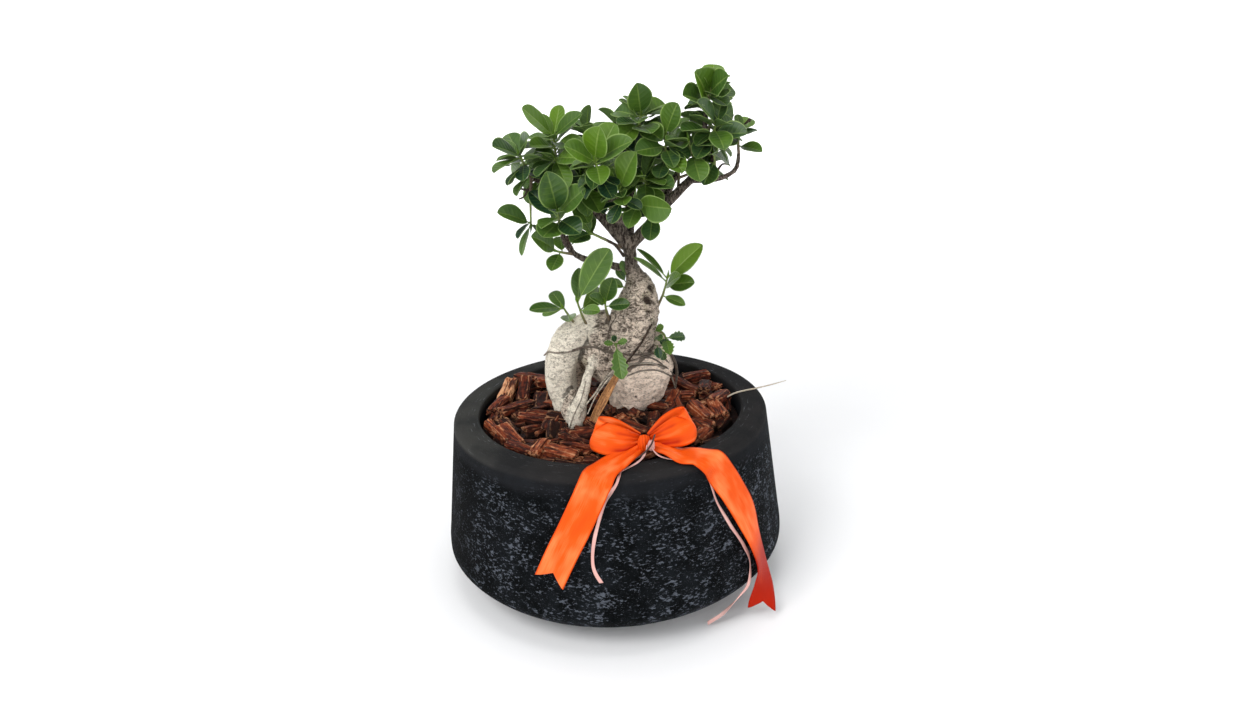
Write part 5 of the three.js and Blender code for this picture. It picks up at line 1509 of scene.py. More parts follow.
@dataclass
class Trunk:
    """Swollen roots, trunk and branches, with thin aerial roots pressed against them."""

    voxel: float = 1.15
    root_lobes: float = 0.045
    torso_lobes: float = 0.035
    branch_lobes: float = 0.03
    relax: int = 5
    peg_bottom: float = 112.0
    peg_overlap: float = 6.0
    peg_taper: float = 0.75
    rootlet_dark: float = 0.1
    twig_dark: float = 0.8
    root_step: float = 2.2
    branch_step: float = 2.0
    rootlet_step: float = 1.6
    swell: float = 0.16
    smooth_skin: float = 0.65
    thin_skin: float = 0.72
    # How cupped a point must be for full painted shade
    hollow_depth: float = 0.05
    scars: tuple[Scar, ...] = (
        Scar(41.2, -14.0, 281.0, 6.0, 2.6, 1.8, 0.85),
        Scar(47.5, -7.0, 290.0, 7.0, 2.4, 0.5, 0.95),
        Scar(26.4, -16.0, 181.9, 1.9, 1.6, 0.2, 1.0),
        Scar(24.0, -17.0, 262.0, 3.2, 0.9, 0.3, 0.55),
        Scar(14.0, -15.0, 268.0, 2.4, 0.8, 0.3, 0.5),
        Scar(31.0, -17.0, 246.0, 2.2, 0.7, 0.2, 0.45),
        Scar(-8.0, -14.0, 218.0, 3.0, 0.9, 0.2, 0.4),
        Scar(-50.0, -16.0, 205.0, 1.6, 0.5, 0.2, 0.4),
    )

    def rough_body(self) -> bpy.types.Object:
        """All limbs as one skin, before it is relaxed.

        Returns:
            The body.
        """
        shape = Shape()
        for name, rows in SKIN.items():
            lobes = self.torso_lobes if name == "torso" else self.root_lobes
            count = max(6, math.ceil(route_length(rows) / self.root_step))
            shape.loft(round_rings(rows, count, 44, lobes, ROOT_STATIONS.get(name, 5) - 1))
        for rows in BRANCHES.values():
            count = max(6, math.ceil(route_length(rows) / self.branch_step))
            shape.loft(round_rings(rows, count, 16, self.branch_lobes, len(rows) - 1))
        body = shape.mesh("ficus_trunk")
        skin = body.modifiers.new("skin", "REMESH")
        skin.mode, skin.voxel_size, skin.use_smooth_shade = "VOXEL", self.voxel / 1000, True
        apply_modifiers(body)
        return body

    @staticmethod
    def neighbours(values: np.ndarray, edges: np.ndarray) -> np.ndarray:
        """Mean of each point's neighbours.

        Args:
            values: One row for each point.
            edges: The two points of each edge.

        Returns:
            One row for each point.
        """
        size = len(values)
        first, last = edges[:, 0], edges[:, 1]
        degree = np.bincount(first, minlength=size) + np.bincount(last, minlength=size)
        total = [np.bincount(first, column[last], size) + np.bincount(last, column[first], size)
                 for column in values.T]
        return np.stack(total, 1) / np.maximum(degree, 1)[:, None]

    def relaxed(self, points: np.ndarray, edges: np.ndarray) -> np.ndarray:
        """Points with the voxel steps smoothed away, and no shrinking.

        Args:
            points: The points.
            edges: The two points of each edge.

        Returns:
            The points, moved.
        """
        for _ in range(self.relax):
            points = points + 0.55 * (self.neighbours(points, edges) - points)
            points = points - 0.57 * (self.neighbours(points, edges) - points)
        return points

    @staticmethod
    def closeness(points: np.ndarray, rows: Rows, reach: float) -> np.ndarray:
        """How near each point lies to a limb's surface, from 0 to 1.

        Args:
            points: The points.
            rows: The limb's rows.
            reach: Where it fades out.

        Returns:
            One number for each point.
        """
        line = along(rows, np.linspace(0, 1, 40))
        gap = np.full(len(points), BEYOND)
        for x, y, z, radius in line:
            gap = np.minimum(gap, np.linalg.norm(points - (x, y, z), axis=1) - radius)
        return 1 - eased(gap, 0.8, reach)

    def carve(self, body: bpy.types.Object) -> None:
        """Smooths the skin, gives it lumps, knots and pits, and marks it for the paint.

        Args:
            body: The body.
        """
        data = body.data
        size = len(data.vertices)
        flat = np.empty(size * 3, np.float32)
        data.vertices.foreach_get("co", flat)
        pairs = np.empty(len(data.edges) * 2, np.int32)
        data.edges.foreach_get("vertices", pairs)
        edges = pairs.reshape(-1, 2)
        points = self.relaxed(flat.reshape(-1, 3).astype(float) * 1000, edges)
        data.vertices.foreach_set("co", (points / 1000).astype(np.float32).ravel())
        data.update()
        data.vertex_normals.foreach_get("vector", flat)
        normals = flat.reshape(-1, 3).astype(float)
        pale = np.maximum(self.closeness(points, ROOTS["leg"], 5),
                          self.closeness(points, ROOTS["strand"], 3))
        pale = pale * (1 - eased(points[:, 0], -16, -4))
        bulb = self.closeness(points, ROOTS["bulb"], 7) * eased(points[:, 2], 232, 214)
        push = np.zeros(size)
        for i, (x, y, z) in enumerate(points.tolist()):
            for height, (a, b, c), shift, damped in LUMPS:
                lump = height * noise.noise(Vector((x * a + shift, y * b, z * c)))
                push[i] += lump * (1 - self.smooth_skin * pale[i]) if damped else lump
        push *= 1 - self.thin_skin * eased(points[:, 2], 300, 335)
        scar = np.zeros(size)
        for mark in self.scars:
            away = np.linalg.norm(points - (mark.x, mark.y, mark.z), axis=1) / mark.radius
            bowl = np.exp(-((away / 0.8) ** 2))
            rim = np.exp(-(((away - 1.25) / 0.4) ** 2))
            push += mark.ring * rim - mark.depth * bowl
            scar = np.maximum(scar, mark.dark * (1 - eased(away, 0.45, 1.1)))
        points = points + normals * push[:, None]
        # Cupped points, in hollows and creases, are marked for painted shade
        cupped = np.sum((self.neighbours(points, edges) - points) * normals, axis=1)[:, None]
        for _ in range(9):
            cupped = 0.35 * cupped + 0.65 * self.neighbours(cupped, edges)
        hollow = np.clip(cupped[:, 0] / self.hollow_depth, 0, 1)
        points[:, 2] = np.maximum(points[:, 2], SOIL_TOP + GAP)
        data.vertices.foreach_set("co", (points / 1000).astype(np.float32).ravel())
        marks = {"pale": pale, "hollow": hollow, "scar": scar, "wrap": np.zeros(size), "bulb": bulb}
        for name, values in marks.items():
            mark_points(data, name, values)
        data.update()

    @staticmethod
    def pressed(rows: Rows, skin: BVHTree) -> np.ndarray:
        """A thin root's route, laid against the skin as it is seen from the front.

        Args:
            rows: Its rows of x, y, z and radius.
            skin: The skin's faces, in metres.

        Returns:
            More rows, which follow the skin.
        """
        route = along(rows, np.linspace(0, 1, 4 * len(rows)))
        for row in route:
            start = Vector((row[0], row[1] - 25, row[2])) / 1000
            spot = skin.ray_cast(start, Vector((0, 1, 0)), 0.06)[0]
            if spot is not None:
                row[1] = np.clip(spot.y * 1000 - 0.3 * row[3], row[1] - 4, row[1] + 10)
        for _ in range(2):
            route[1:-1, 1] = (route[:-2, 1] + 2 * route[1:-1, 1] + route[2:, 1]) / 4
        return route

    def small_wood(self, body: bpy.types.Object) -> bpy.types.Object:
        """Aerial roots on the body's skin, bare twigs, stubs and the pegs in the soil.

        Args:
            body: The body.

        Returns:
            The small wood.
        """
        shape = Shape()
        dice = Dice(808)
        skin = BVHTree.FromObject(body, bpy.context.evaluated_depsgraph_get())
        wraps = [(dark, self.pressed(rows, skin)) for dark, rows in WRAPS.values()]
        twigs = [(self.rootlet_dark if "root" in name else self.twig_dark, rows)
                 for name, rows in TWIGS.items()]
        bare = {"hollow": 0.0, "scar": 0.0, "bulb": 0.0}
        for dark, rows in (*wraps, *twigs):
            count = max(8, math.ceil(route_length(rows) / self.rootlet_step))
            rings = round_rings(rows, count, 10, 0.05, count / 3)
            centre = rings.mean(axis=1, keepdims=True)
            waves = [noise.noise(Vector((i * 0.35, dice.roll() * 0.2, 3))) for i in range(count)]
            rings = centre + (rings - centre) * (1 + self.swell * np.array(waves))[:, None, None]
            shape.loft(rings, wrap=dark, pale=0.6, **bare)
        for x, y, radius in PEGS:
            low, high = self.peg_bottom, SOIL_TOP + self.peg_overlap
            rows = [[x, y, low, radius * self.peg_taper], [x, y, high, radius]]
            shape.loft(round_rings(rows, 2, 20), wrap=0.0, pale=0.5, **{**bare, "hollow": 0.4})
        return shape.mesh("small_wood")

    def build(self, finish: BarkFinish) -> bpy.types.Object:
        """Grows the trunk.

        Args:
            finish: Its finish.

        Returns:
            The trunk.
        """
        body = self.rough_body()
        self.carve(body)
        return settled(joined(body, self.small_wood(body)), "bark", "trunk", finish.material())


def joined(first: bpy.types.Object, second: bpy.types.Object) -> bpy.types.Object:
    """Joins the second mesh into the first.

    Args:
        first: The mesh that stays.
        second: The mesh that goes into it.

    Returns:
        The first one.
    """
    with bpy.context.temp_override(active_object=first, selected_editable_objects=[first, second]):
        bpy.ops.object.join()
    return first


# Leaves


@dataclass(frozen=True)
class Shoot:
    """A leafy shoot: its route, the leaves of the spiral rule, and the ones set one by one."""

    name: str
    route: Rows
    more: int
    size: float
    seed: int
    fresh: float
    chosen: tuple[tuple[float, ...], ...] = ()
    bright: Mapping[int, float] = field(default_factory=dict)
    broad: float = 1.05
    short: float = 1.0
    teeth: float = 0.0
    sprigs: Rows = ()

    def stem(self) -> np.ndarray:
        """Its stem as rows of x, y, z and radius."""
        radii = [1.5 - 0.6 * i / (len(self.route) - 1) for i in range(len(self.route))]
        return np.column_stack([np.array(self.route, float), radii])


SHOOTS = (
    Shoot("crown", ((98, -10, 454), (100, -12, 465), (102, -14, 473)), 4, 32, 11, 0.3, (
        (0.35, -115, 46, 42, 24, 0), (0.6, -63, 32, 36, 20, 20), (0.2, -132, 21, 40, 20, 0),
        (0.4, 29, 19, 36, 18, 0), (1, 72, 55, 30, 16, 0), (0.2, 4, -26, 34, 20, 0)),
          {4: 0.8, 0: 0.6}, 1.3, 0.8),
    Shoot("crown_low", ((95, -8, 422), (102, -14, 431), (106, -18, 441)), 3, 32, 12, 0.2, (
        (0.6, -139, 14, 38, 22, 30), (0.5, -35, 8, 34, 20, 0), (1, -121, 38, 36, 20, 0),
        (0.9, 41, 27, 34, 20, 0), (0.75, -81, -18, 34, 20, 0))),
    Shoot("right_tip", ((129, 4, 412), (128, 0, 425), (130, -2, 434)), 3, 22, 13, 0.2, (
        (0.3, -60, 1, 32, 12, 0), (0.95, 62, 22, 30, 14, 0), (0.6, -128, -2, 28, 16, 0)), {1: 0.8}),
    Shoot("right_low", ((105, -4, 391), (106, -6, 405), (104, -10, 416)), 4, 28, 14, 0.1, (
        (0.6, -117, -30, 30, 18, 0), (0.9, 46, -21, 30, 16, 0))),
    Shoot("centre_top", ((33, 0, 427), (38, -2, 440), (40, -4, 451)), 4, 32, 15, 0.3, (
        (1, -95, 50, 34, 23, 0), (0.9, 42, 18, 34, 22, 0), (0.85, 134, 12, 36, 22, 0),
        (0.6, -133, -20, 32, 20, 0), (0.5, -45, -18, 32, 20, 0))),
    Shoot("centre_right", ((59, -10, 402), (61, -14, 420), (61, -16, 434)), 4, 32, 16, 0.35, (
        (1, -69, 52, 34, 20, 0), (0.6, -137, 7, 32, 20, 0), (0.7, 43, -9, 32, 20, 0),
        (0.9, 115, 27, 34, 20, 0), (0.45, -63, -22, 32, 18, 0))),
    Shoot("bright", ((2, -36, 400), (0, -40, 410), (-2, -42, 417)), 4, 30, 17, 0.42, (
        (1, -82, 48, 38, 25, 0), (0.7, -83, -20, 30, 20, 0), (0.8, -135, 31, 36, 20, 0),
        (0.85, -38, 29, 42, 22, 0), (0.4, 55, -28, 36, 22, 0), (0.9, 9, 60, 36, 20, 0)), {0: 0.65}),
    Shoot("mid_front", ((20, -32, 377), (19, -37, 384), (18, -39, 391)), 3, 28, 18, 0.25, (
        (1, -67, 49, 44, 24, 0), (0.6, 64, 29, 34, 17, 0), (0.7, 125, 18, 36, 20, 0))),
    Shoot("fold_leaf", ((37, -19, 368), (35, -26, 372), (32, -30, 376)), 2, 26, 19, 0.15, (
        (1, -51, 0, 42, 24, 60), (0.7, -115, -32, 26, 16, 0))),
    Shoot("left_v", ((-31, 8, 395), (-38, 2, 414), (-39, -6, 435)), 4, 32, 20, 0.35, (
        (0.98, -126, 40, 44, 24, 0), (0.98, -32, 37, 36, 20, 0), (1, 75, 52, 36, 18, 0),
        (0.75, -121, 12, 34, 20, 0), (0.75, -38, 12, 34, 20, 0)), {2: 0.7}, 0.78),
    Shoot("left_far_tip", ((-62, -6, 398), (-67, -10, 412), (-70, -12, 420)), 3, 30, 21, 0.15, (
        (1, -120, 24, 36, 20, 0), (0.8, -128, -8, 36, 18, 40), (0.95, -62, 32, 34, 20, 0),
        (0.6, 125, -34, 34, 20, 0), (1, 120, 39, 32, 18, 0))),
    Shoot("left_mid", ((-22, 8, 387), (-34, -4, 403), (-39, -11, 417)), 3, 30, 22, 0.25, (
        (1, -69, -32, 38, 17, 0), (0.85, -116, -9, 36, 18, 40), (0.95, -44, 20, 32, 20, 0),
        (0.5, 135, -40, 34, 20, 0))),
    Shoot("left_front", ((-38, -10, 351), (-38, -20, 361), (-38, -28, 370)), 3, 30, 23, 0.08, (
        (1, -96, 52, 48, 26, 0), (0.9, -40, 39, 40, 22, 0), (0.7, 153, 37, 36, 18, 0),
        (0.45, -115, -10, 30, 24, 0), (0.6, -58, -18, 30, 22, 0))),
    Shoot("left_drop", ((-62, -6, 398), (-64, -8, 378), (-65, -10, 357)), 1, 24, 24, 0.0, (
        (0.98, -133, 28, 38, 18, 0), (0.9, -115, -16, 28, 9, 40), (1, -122, -48, 32, 10, 40))),
    Shoot("low_left_tip", ((-27, -4, 326), (-36, -10, 329), (-43, -14, 332)), 0, 24, 25, 0.1, (
        (1, -130, 37, 34, 22, 0), (0.6, 90, 25, 26, 14, 0), (0.7, -105, -18, 28, 15, 0))),
    Shoot("big_bright", ((-18, -2, 252), (-22, -12, 266), (-26, -20, 284)), 0, 24, 26, 0.35, (
        (1, -15, 59, 60, 26, 0), (0.9, 75, 75, 34, 14, 0), (0.7, 52, 20, 38, 18, 30),
        (0.7, -51, 14, 28, 12, 0)), {0: 0.3}, 1.0),
    Shoot("low_shoot", ((-28, 2, 250), (-34, -8, 264), (-40, -12, 276)), 0, 24, 27, 0.35, (
        (1, -140, 16, 38, 18, 20), (0.95, 160, -16, 26, 10, 0), (0.65, -85, 10, 26, 18, 0),
        (0.8, 130, 24, 32, 16, 0)), broad=0.85),
    Shoot("mid_shoot", ((3, 0, 258), (1, -8, 270), (0, -13, 279)), 0, 24, 28, 0.2, (
        (1, -133, 29, 24, 12, 0), (0.9, -53, 66, 30, 17, 0), (0.75, -20, 12, 24, 13, 0)), sprigs=(
            (20, 0, 290, -170, 30, 16, 9), (20.5, 0, 296, 165, 58, 15, 8),
            (21, 0, 303, 150, 74, 14, 7))),
    Shoot("right_shoot", ((46, 8, 258), (56, 6, 279), (61, 2, 298)), 0, 28, 29, 0.35, (
        (1, -40, 45, 52, 21, 0), (0.97, 140, 40, 44, 8.5, 30), (0.85, -158, 45, 42, 8.5, 30),
        (0.7, -72, 34, 36, 16, 0), (0.75, -30, 14, 30, 18, 0), (0.5, -45, -6, 28, 10, 0)),
          {0: 0.8}),
    Shoot("right_low_shoot", ((44, 8, 246), (55, 2, 242), (58, -4, 238)), 0, 22, 30, 0.1, (
        (1, -84, -18, 24, 13, 0), (0.95, 20, -4, 22, 12, 0)), teeth=0.3, sprigs=(
            (47, -5, 246, -35, 38, 12, 9), (48, -6, 241, -70, 10, 14, 10),
            (50, -5, 237, -30, -12, 14, 10), (49, -7, 232, -80, -40, 14, 10),
            (51, -6, 229, -40, -60, 13, 9))),
    Shoot("front_small", ((8, -10, 236), (8, -22, 240), (9, -27, 242)), 0, 22, 31, 0.0, (
        (1, -80, -40, 36, 15, 0),), broad=1.2, teeth=0.34, sprigs=(
            (8, -25, 242, -160, 15, 11, 6), (9, -26, 242, -20, 25, 12, 7),
            (8, -25, 243, -100, 60, 10, 6))),
    Shoot("neck_shoot", ((20, 2, 328), (3, -10, 340), (-10, -16, 348)), 2, 26, 32, 0.1, (
        (1, -123, 2, 30, 18, 0), (0.85, 90, 25, 30, 16, 0))),
    Shoot("back_left_end", ((-33, 49, 392), (-42, 54, 406), (-48, 58, 416)), 7, 36, 41, 0.15),
    Shoot("back_left_mid", ((-14, 28, 373), (-26, 26, 390), (-32, 26, 402)), 6, 34, 42, 0.15),
    Shoot("back_left_out", ((-24, 40, 384), (-44, 40, 388), (-58, 36, 398)), 7, 34, 43, 0.2),
    Shoot("back_mid_end", ((34, 55, 408), (37, 62, 422), (38, 66, 432)), 7, 36, 44, 0.15),
    Shoot("back_mid_left", ((30, 40, 380), (18, 52, 394), (8, 58, 406)), 6, 34, 45, 0.15),
    Shoot("back_mid_right", ((30, 38, 377), (44, 48, 388), (54, 54, 400)), 6, 34, 46, 0.2),
    Shoot("back_right_end", ((79, 39, 401), (86, 44, 412), (90, 47, 424)), 7, 34, 47, 0.15),
    Shoot("back_right_out", ((70, 23, 388), (88, 26, 394), (102, 28, 402)), 5, 32, 48, 0.15),
    Shoot("top_back", ((28, 0, 418), (24, 14, 428), (20, 24, 438)), 6, 34, 49, 0.2),
    Shoot("top_left", ((4, -4, 412), (-4, 0, 426), (-10, 2, 438)), 7, 34, 50, 0.25),
    Shoot("mid_left_fill", ((-10, 7, 372), (-14, -6, 388), (-16, -14, 402)), 5, 34, 51, 0.15),
    Shoot("crown_back", ((95, -8, 425), (102, 6, 436), (106, 14, 446)), 6, 32, 52, 0.15),
    Shoot("mid_right_fill", ((72, -6, 381), (74, 4, 400), (76, 10, 414)), 5, 32, 53, 0.15),
    Shoot("centre_fill", ((54, -5, 372), (44, -16, 388), (40, -22, 398)), 6, 32, 54, 0.3),
    Shoot("low_back", ((26, 18, 352), (14, 32, 356), (4, 40, 364)), 5, 30, 55, 0.1),
    Shoot("left_low_fill", ((-21, 8, 386), (-24, -4, 380), (-26, -14, 380)), 5, 32, 56, 0.15),
    Shoot("right_mid", ((89, -8, 405), (84, -16, 418), (81, -22, 429)), 6, 34, 57, 0.2),
    Shoot("low_centre", ((48, -2, 354), (48, -13, 362), (46, -20, 366)), 4, 26, 59, 0.1),
    Shoot("rear_low_left", ((-12, 26, 372), (-10, 40, 374), (-10, 50, 380)), 5, 32, 61, 0.1),
)
# Turns of heading and pitch that a leaf tries, in degrees, until it is clear of its neighbours
TRIES = ((0, 0), (8, 5), (-8, 5), (8, -6), (-8, -6), (18, 0), (-18, 0), (0, 14), (0, -14), (28, 8),
         (-28, 8), (28, -10), (-28, -10), (42, 0), (-42, 0), (0, 26), (0, -26), (60, 10), (-60, 10))


@dataclass
class Plan:
    """A leaf before it has found its place."""

    owner: str
    base: np.ndarray
    heading: float
    pitch: float
    length: float
    width: float
    roll: float
    front: bool
    fresh: float
    axis: np.ndarray


@dataclass
class Leaf:
    """A placed leaf: where it starts, the way it points and the way its upper face looks."""

    owner: str
    base: np.ndarray
    direction: np.ndarray
    face: np.ndarray
    length: float
    width: float
    fresh: float
    arch: float = 0.1
    fold: float = 0.22

    def __post_init__(self) -> None:
        """Works out the middle surface that keeps leaves apart."""
        self.across = np.cross(self.direction, self.face)
        rows = [[self.point(t, s * self.width / 2 * share) for s in (-1, 0, 1)]
                for t, share in ((0.16, 0.14), (0.46, 0.94), (0.8, 0.84))]
        tip = self.point(1, 0)
        triangles = []
        for low, high in zip(rows, rows[1:]):
            for s in range(2):
                triangles += [(low[s], low[s + 1], high[s + 1]), (low[s], high[s + 1], high[s])]
        triangles += [(rows[2][0], rows[2][1], tip), (rows[2][1], rows[2][2], tip)]
        self.triangles = np.array(triangles)
        shares = np.array([(1 - (i + j) / 4, i / 4, j / 4) for i in range(5) for j in range(5 - i)])
        self.samples = np.einsum("sk,tkd->tsd", shares, self.triangles).reshape(-1, 3)
        self.middle = self.point(0.5, 0)
        self.low, self.high = self.samples.min(0), self.samples.max(0)

    def point(self, t: float, half: float) -> np.ndarray:
        """Point of the solid's middle surface.

        Args:
            t: Share of the leaf's length.
            half: Distance to the side.

        Returns:
            The point.
        """
        lift = abs(half) * self.fold - self.arch * self.length * t * t
        spot = self.base + self.direction * (self.length * t)
        return spot + self.face * lift + self.across * half


def pointing(heading: float, pitch: float) -> np.ndarray:
    """The unit vector at a heading and a pitch.

    Args:
        heading: Heading in degrees, from +X towards +Y.
        pitch: Pitch in degrees.

    Returns:
        The vector.
    """
    turn, lift = math.radians(heading), math.radians(pitch)
    return np.array([math.cos(turn) * math.cos(lift), math.sin(turn) * math.cos(lift),
                     math.sin(lift)])


def gaps(points: np.ndarray, triangles: np.ndarray) -> np.ndarray:
    """Least distance from each point to any of the triangles.

    Args:
        points: The points.
        triangles: The triangles' corners.

    Returns:
        One distance for each point.
    """
    p = points[:, None, :]
    a, b, c = triangles[:, 0], triangles[:, 1], triangles[:, 2]
    up = np.cross(b - a, c - a)
    inside = np.ones((len(points), len(triangles)), bool)
    nearest = np.full((len(points), len(triangles)), BEYOND)
    for start, end in ((a, b), (b, c), (c, a)):
        edge = end - start
        off = p - start
        t = np.clip((off * edge).sum(-1) / (edge * edge).sum(-1), 0, 1)
        nearest = np.minimum(nearest, np.linalg.norm(off - t[..., None] * edge, axis=-1))
        inside &= (np.cross(edge, off) * up).sum(-1) >= 0
    level = np.abs(((p - a) * unit(up)).sum(-1))
    return np.where(inside, level, nearest).min(axis=1)


# Places along and across a blade, and along its stalk with the stalk's radius there
LEAF_ALONG = np.array([0, 0.02, 0.06, 0.13, 0.22, 0.32, 0.43, 0.54, 0.64, 0.74, 0.83, 0.905, 0.96,
                       0.99, 1])
LEAF_ACROSS = np.array([-1, -0.94, -0.76, -0.45, -0.16, -0.05, 0.05, 0.16, 0.45, 0.76, 0.94, 1])
STALK_ALONG = np.array([0, 0.05, 0.1, 0.15, 0.22, 0.34, 0.5, 0.66, 0.8])
STALK_RADIUS = np.array([0.95, 0.72, 0.62, 0.6, 0.52, 0.42, 0.32, 0.22, 0.12])
# The bud at a stem's end: how far out, how far bent aside, and its radius
BUD = ((-1, 0, 0.95), (2, 0, 1.25), (5, 0.3, 0.75), (8, 0.9, 0.12))


@dataclass
class Foliage:
    """All leafy shoots, with their leaves in the places that the solids have."""

    sunk: float = 1.6
    clear: float = 1.35
    own_clear: float = 0.8
    wood_clear: float = 1.0
    near: float = 0.62
    wood_step: float = 2.5
    spacing: float = 4.2
    lowest: float = 0.3
    step: float = 0.05
    lean: float = 0.2
    jitter: float = 0.4
    opening: tuple[float, float] = (32.0, 42.0)
    wider: float = 13.0
    young: float = 0.72
    growth: float = 0.09
    lengths: tuple[float, float] = (0.94, 1.08)
    widths: tuple[float, float] = (0.6, 0.68)
    roll: float = 30.0
    skyward: float = 0.55
    golden_turn: float = math.radians(137.5)
    fill: int = 12
    fill_from: float = 390.0
    fill_right: float = 436.0
    right_side: float = 70.0
    widest: float = 100.0
    fill_size: float = 0.78
    fill_clear: float = 0.6
    fill_spacing: float = 0.45
    fill_lowest: float = 0.08
    fill_first: int = 2
    fill_seed: int = 500
    blade_from: float = 0.13
    thick: float = 0.5
    groove: float = 0.16
    base_power: tuple[float, float] = (0.68, 0.86)
    tip_power: tuple[float, float] = (0.47, 0.68)
    waves: tuple[float, float] = (1.4, 2.4)
    sway_from: float = 0.3
    stalk_sides: int = 7
    bud_rings: int = 10
    bud_sides: int = 8

    def joint(self, stem: np.ndarray, place: float) -> np.ndarray:
        """Where a leaf joins its stem, always inside the stem."""
        return along(stem, min(place, 1 - self.sunk / route_length(stem)))[0, :3]

    def tip_axis(self, stem: np.ndarray) -> np.ndarray:
        """The way a stem's end points."""
        ends = along(stem, np.array([0.6, 1.0]))[:, :3]
        return unit(ends[1] - ends[0])

    def chosen_plans(self) -> Iterator[Plan]:
        """Leaves that were set one by one.

        Returns:
            Their plans.
        """
        for shoot in SHOOTS:
            stem = shoot.stem()
            for i, (place, heading, pitch, length, width, roll) in enumerate(shoot.chosen):
                fresh = shoot.bright.get(i, shoot.fresh)
                yield Plan(shoot.name, self.joint(stem, place), heading, pitch, length, width, roll,
                           True, fresh, self.tip_axis(stem))

    def spiral_plans(self, fill: bool) -> Iterator[Plan]:
        """Leaves of the spiral rule: the youngest at the tip, older ones lower and wider open.

        Args:
            fill: True for the further leaves of the crown, which only the dressed plant has.

        Yields:
            Their plans.
        """
        for shoot in SHOOTS:
            across, _, high = shoot.route[-1]
            if fill and high < (self.fill_from if across < self.right_side else self.fill_right):
                continue
            stem, dice = shoot.stem(), Dice(shoot.seed + (self.fill_seed if fill else 0))
            spacing = self.spacing * (self.fill_spacing if fill else 1) / route_length(stem)
            lowest = self.fill_lowest if fill else self.lowest
            size = shoot.size * (self.fill_size if fill else 1)
            youngest, count = (self.fill_first, self.fill) if fill else (0, shoot.more)
            for i in range(youngest, youngest + count):
                place = max(1 - i * spacing, lowest)
                ends = np.array([max(place - self.step, 0), min(place + self.step, 1)])
                ends = along(stem, ends)[:, :3]
                axis = unit(ends[1] - ends[0])
                first = square_to(axis, UP + np.array([self.lean, 0, 0]))
                turn = shoot.seed + i * self.golden_turn + dice.spread(self.jitter)
                opening = between(self.opening, dice.roll()) + self.wider * i
                opening = math.radians(min(opening, self.widest) if fill else opening)
                round_it = first * math.cos(turn) + np.cross(axis, first) * math.sin(turn)
                way = axis * math.cos(opening) + round_it * math.sin(opening)
                length = size * min(self.young + self.growth * i, 1)
                length *= between(self.lengths, dice.roll())
                width = length * between(self.widths, dice.roll())
                heading = math.degrees(math.atan2(way[1], way[0]))
                pitch = math.degrees(math.asin(way[2]))
                fresh = max(shoot.fresh * (1.2 - 0.15 * i), 0)
                yield Plan(shoot.name, self.joint(stem, place), heading, pitch, length, width,
                           dice.spread(self.roll), False, fresh, self.tip_axis(stem))

    def posed(self, plan: Plan, turn: float, lift: float) -> Leaf:
        """A leaf turned and lifted from its plan.

        Args:
            plan: The plan.
            turn: Extra heading in degrees.
            lift: Extra pitch in degrees.

        Returns:
            The leaf.
        """
        way = pointing(plan.heading + turn, plan.pitch + lift)
        sky = UP * self.skyward + plan.axis * (1 - self.skyward)
        face = turned_about(square_to(way, FRONT_LIGHT if plan.front else sky), way, plan.roll)
        return Leaf(plan.owner, plan.base, way, face, plan.length, plan.width, plan.fresh)

    def wood(self) -> tuple[np.ndarray, np.ndarray]:
        """Points in the middle of all wood with their radius, and the shoot that owns each.

        Returns:
            Rows of x, y, z and radius, and their owners.
        """
        rows, owners = [], []
        stems = [("", r) for r in (*ROOTS.values(), *BRANCHES.values())]
        stems += [(shoot.name, shoot.stem()) for shoot in SHOOTS]
        for owner, route in stems:
            steps = max(2, math.ceil(route_length(route) / self.wood_step))
            rows.append(along(route, np.linspace(0, 1, steps + 1)))
            owners += [owner] * (steps + 1)
        return np.vstack(rows), np.array(owners)

    def fits(self, leaf: Leaf, placed: list[Leaf], wood: np.ndarray, owners: np.ndarray,
             room: float) -> bool:
        """Whether a leaf is clear of the placed leaves and of the wood.

        Args:
            leaf: The leaf.
            placed: Leaves in their places.
            wood: Points of the wood with their radius.
            owners: The shoot that owns each of those points.
            room: Clear space to the leaves of other shoots.

        Returns:
            True if it is clear.
        """
        for other in placed:
            reach = (other.length + leaf.length) * self.near
            if np.linalg.norm(other.middle - leaf.middle) > reach:
                continue
            clear = self.own_clear if other.owner == leaf.owner else room
            if np.any(other.low - clear > leaf.high) or np.any(leaf.low - clear > other.high):
                continue
            if gaps(leaf.samples, other.triangles).min() < clear:
                return False
            if gaps(other.samples, leaf.triangles).min() < clear:
                return False
        close = np.linalg.norm(wood[:, :3] - leaf.middle, axis=1) <= leaf.length
        close &= owners != leaf.owner
        if not close.any():
            return True
        needed = wood[close, 3] + self.wood_clear
        return bool(np.all(gaps(wood[close, :3], leaf.triangles) >= needed))

    def place(self) -> list[Leaf]:
        """All leaves, each in the first pose that is clear.

        Returns:
            The leaves.
        """
        wood, owners = self.wood()
        placed: list[Leaf] = []
        plans = [(plan, self.clear) for plan in (*self.chosen_plans(), *self.spiral_plans(False))]
        plans += [(plan, self.fill_clear) for plan in self.spiral_plans(True)]
        for plan, room in plans:
            for turn, lift in TRIES:
                leaf = self.posed(plan, turn, lift)
                if self.fits(leaf, placed, wood, owners, room):
                    placed.append(leaf)
                    break
        LOG.info("%d leaves placed", len(placed))
        return placed

    @staticmethod
    def sprig_leaves(shoot: Shoot) -> Iterator[Leaf]:
        """Small leaves close to the bark, which only the dressed plant has.

        Args:
            shoot: The shoot that they belong to.

        Yields:
            The leaves.
        """
        for x, y, z, heading, pitch, length, width in shoot.sprigs:
            way = pointing(heading, pitch)
            face = square_to(way, FRONT_LIGHT)
            yield Leaf(shoot.name, np.array([x, y, z], float), way, face, length, width,
                       shoot.fresh)

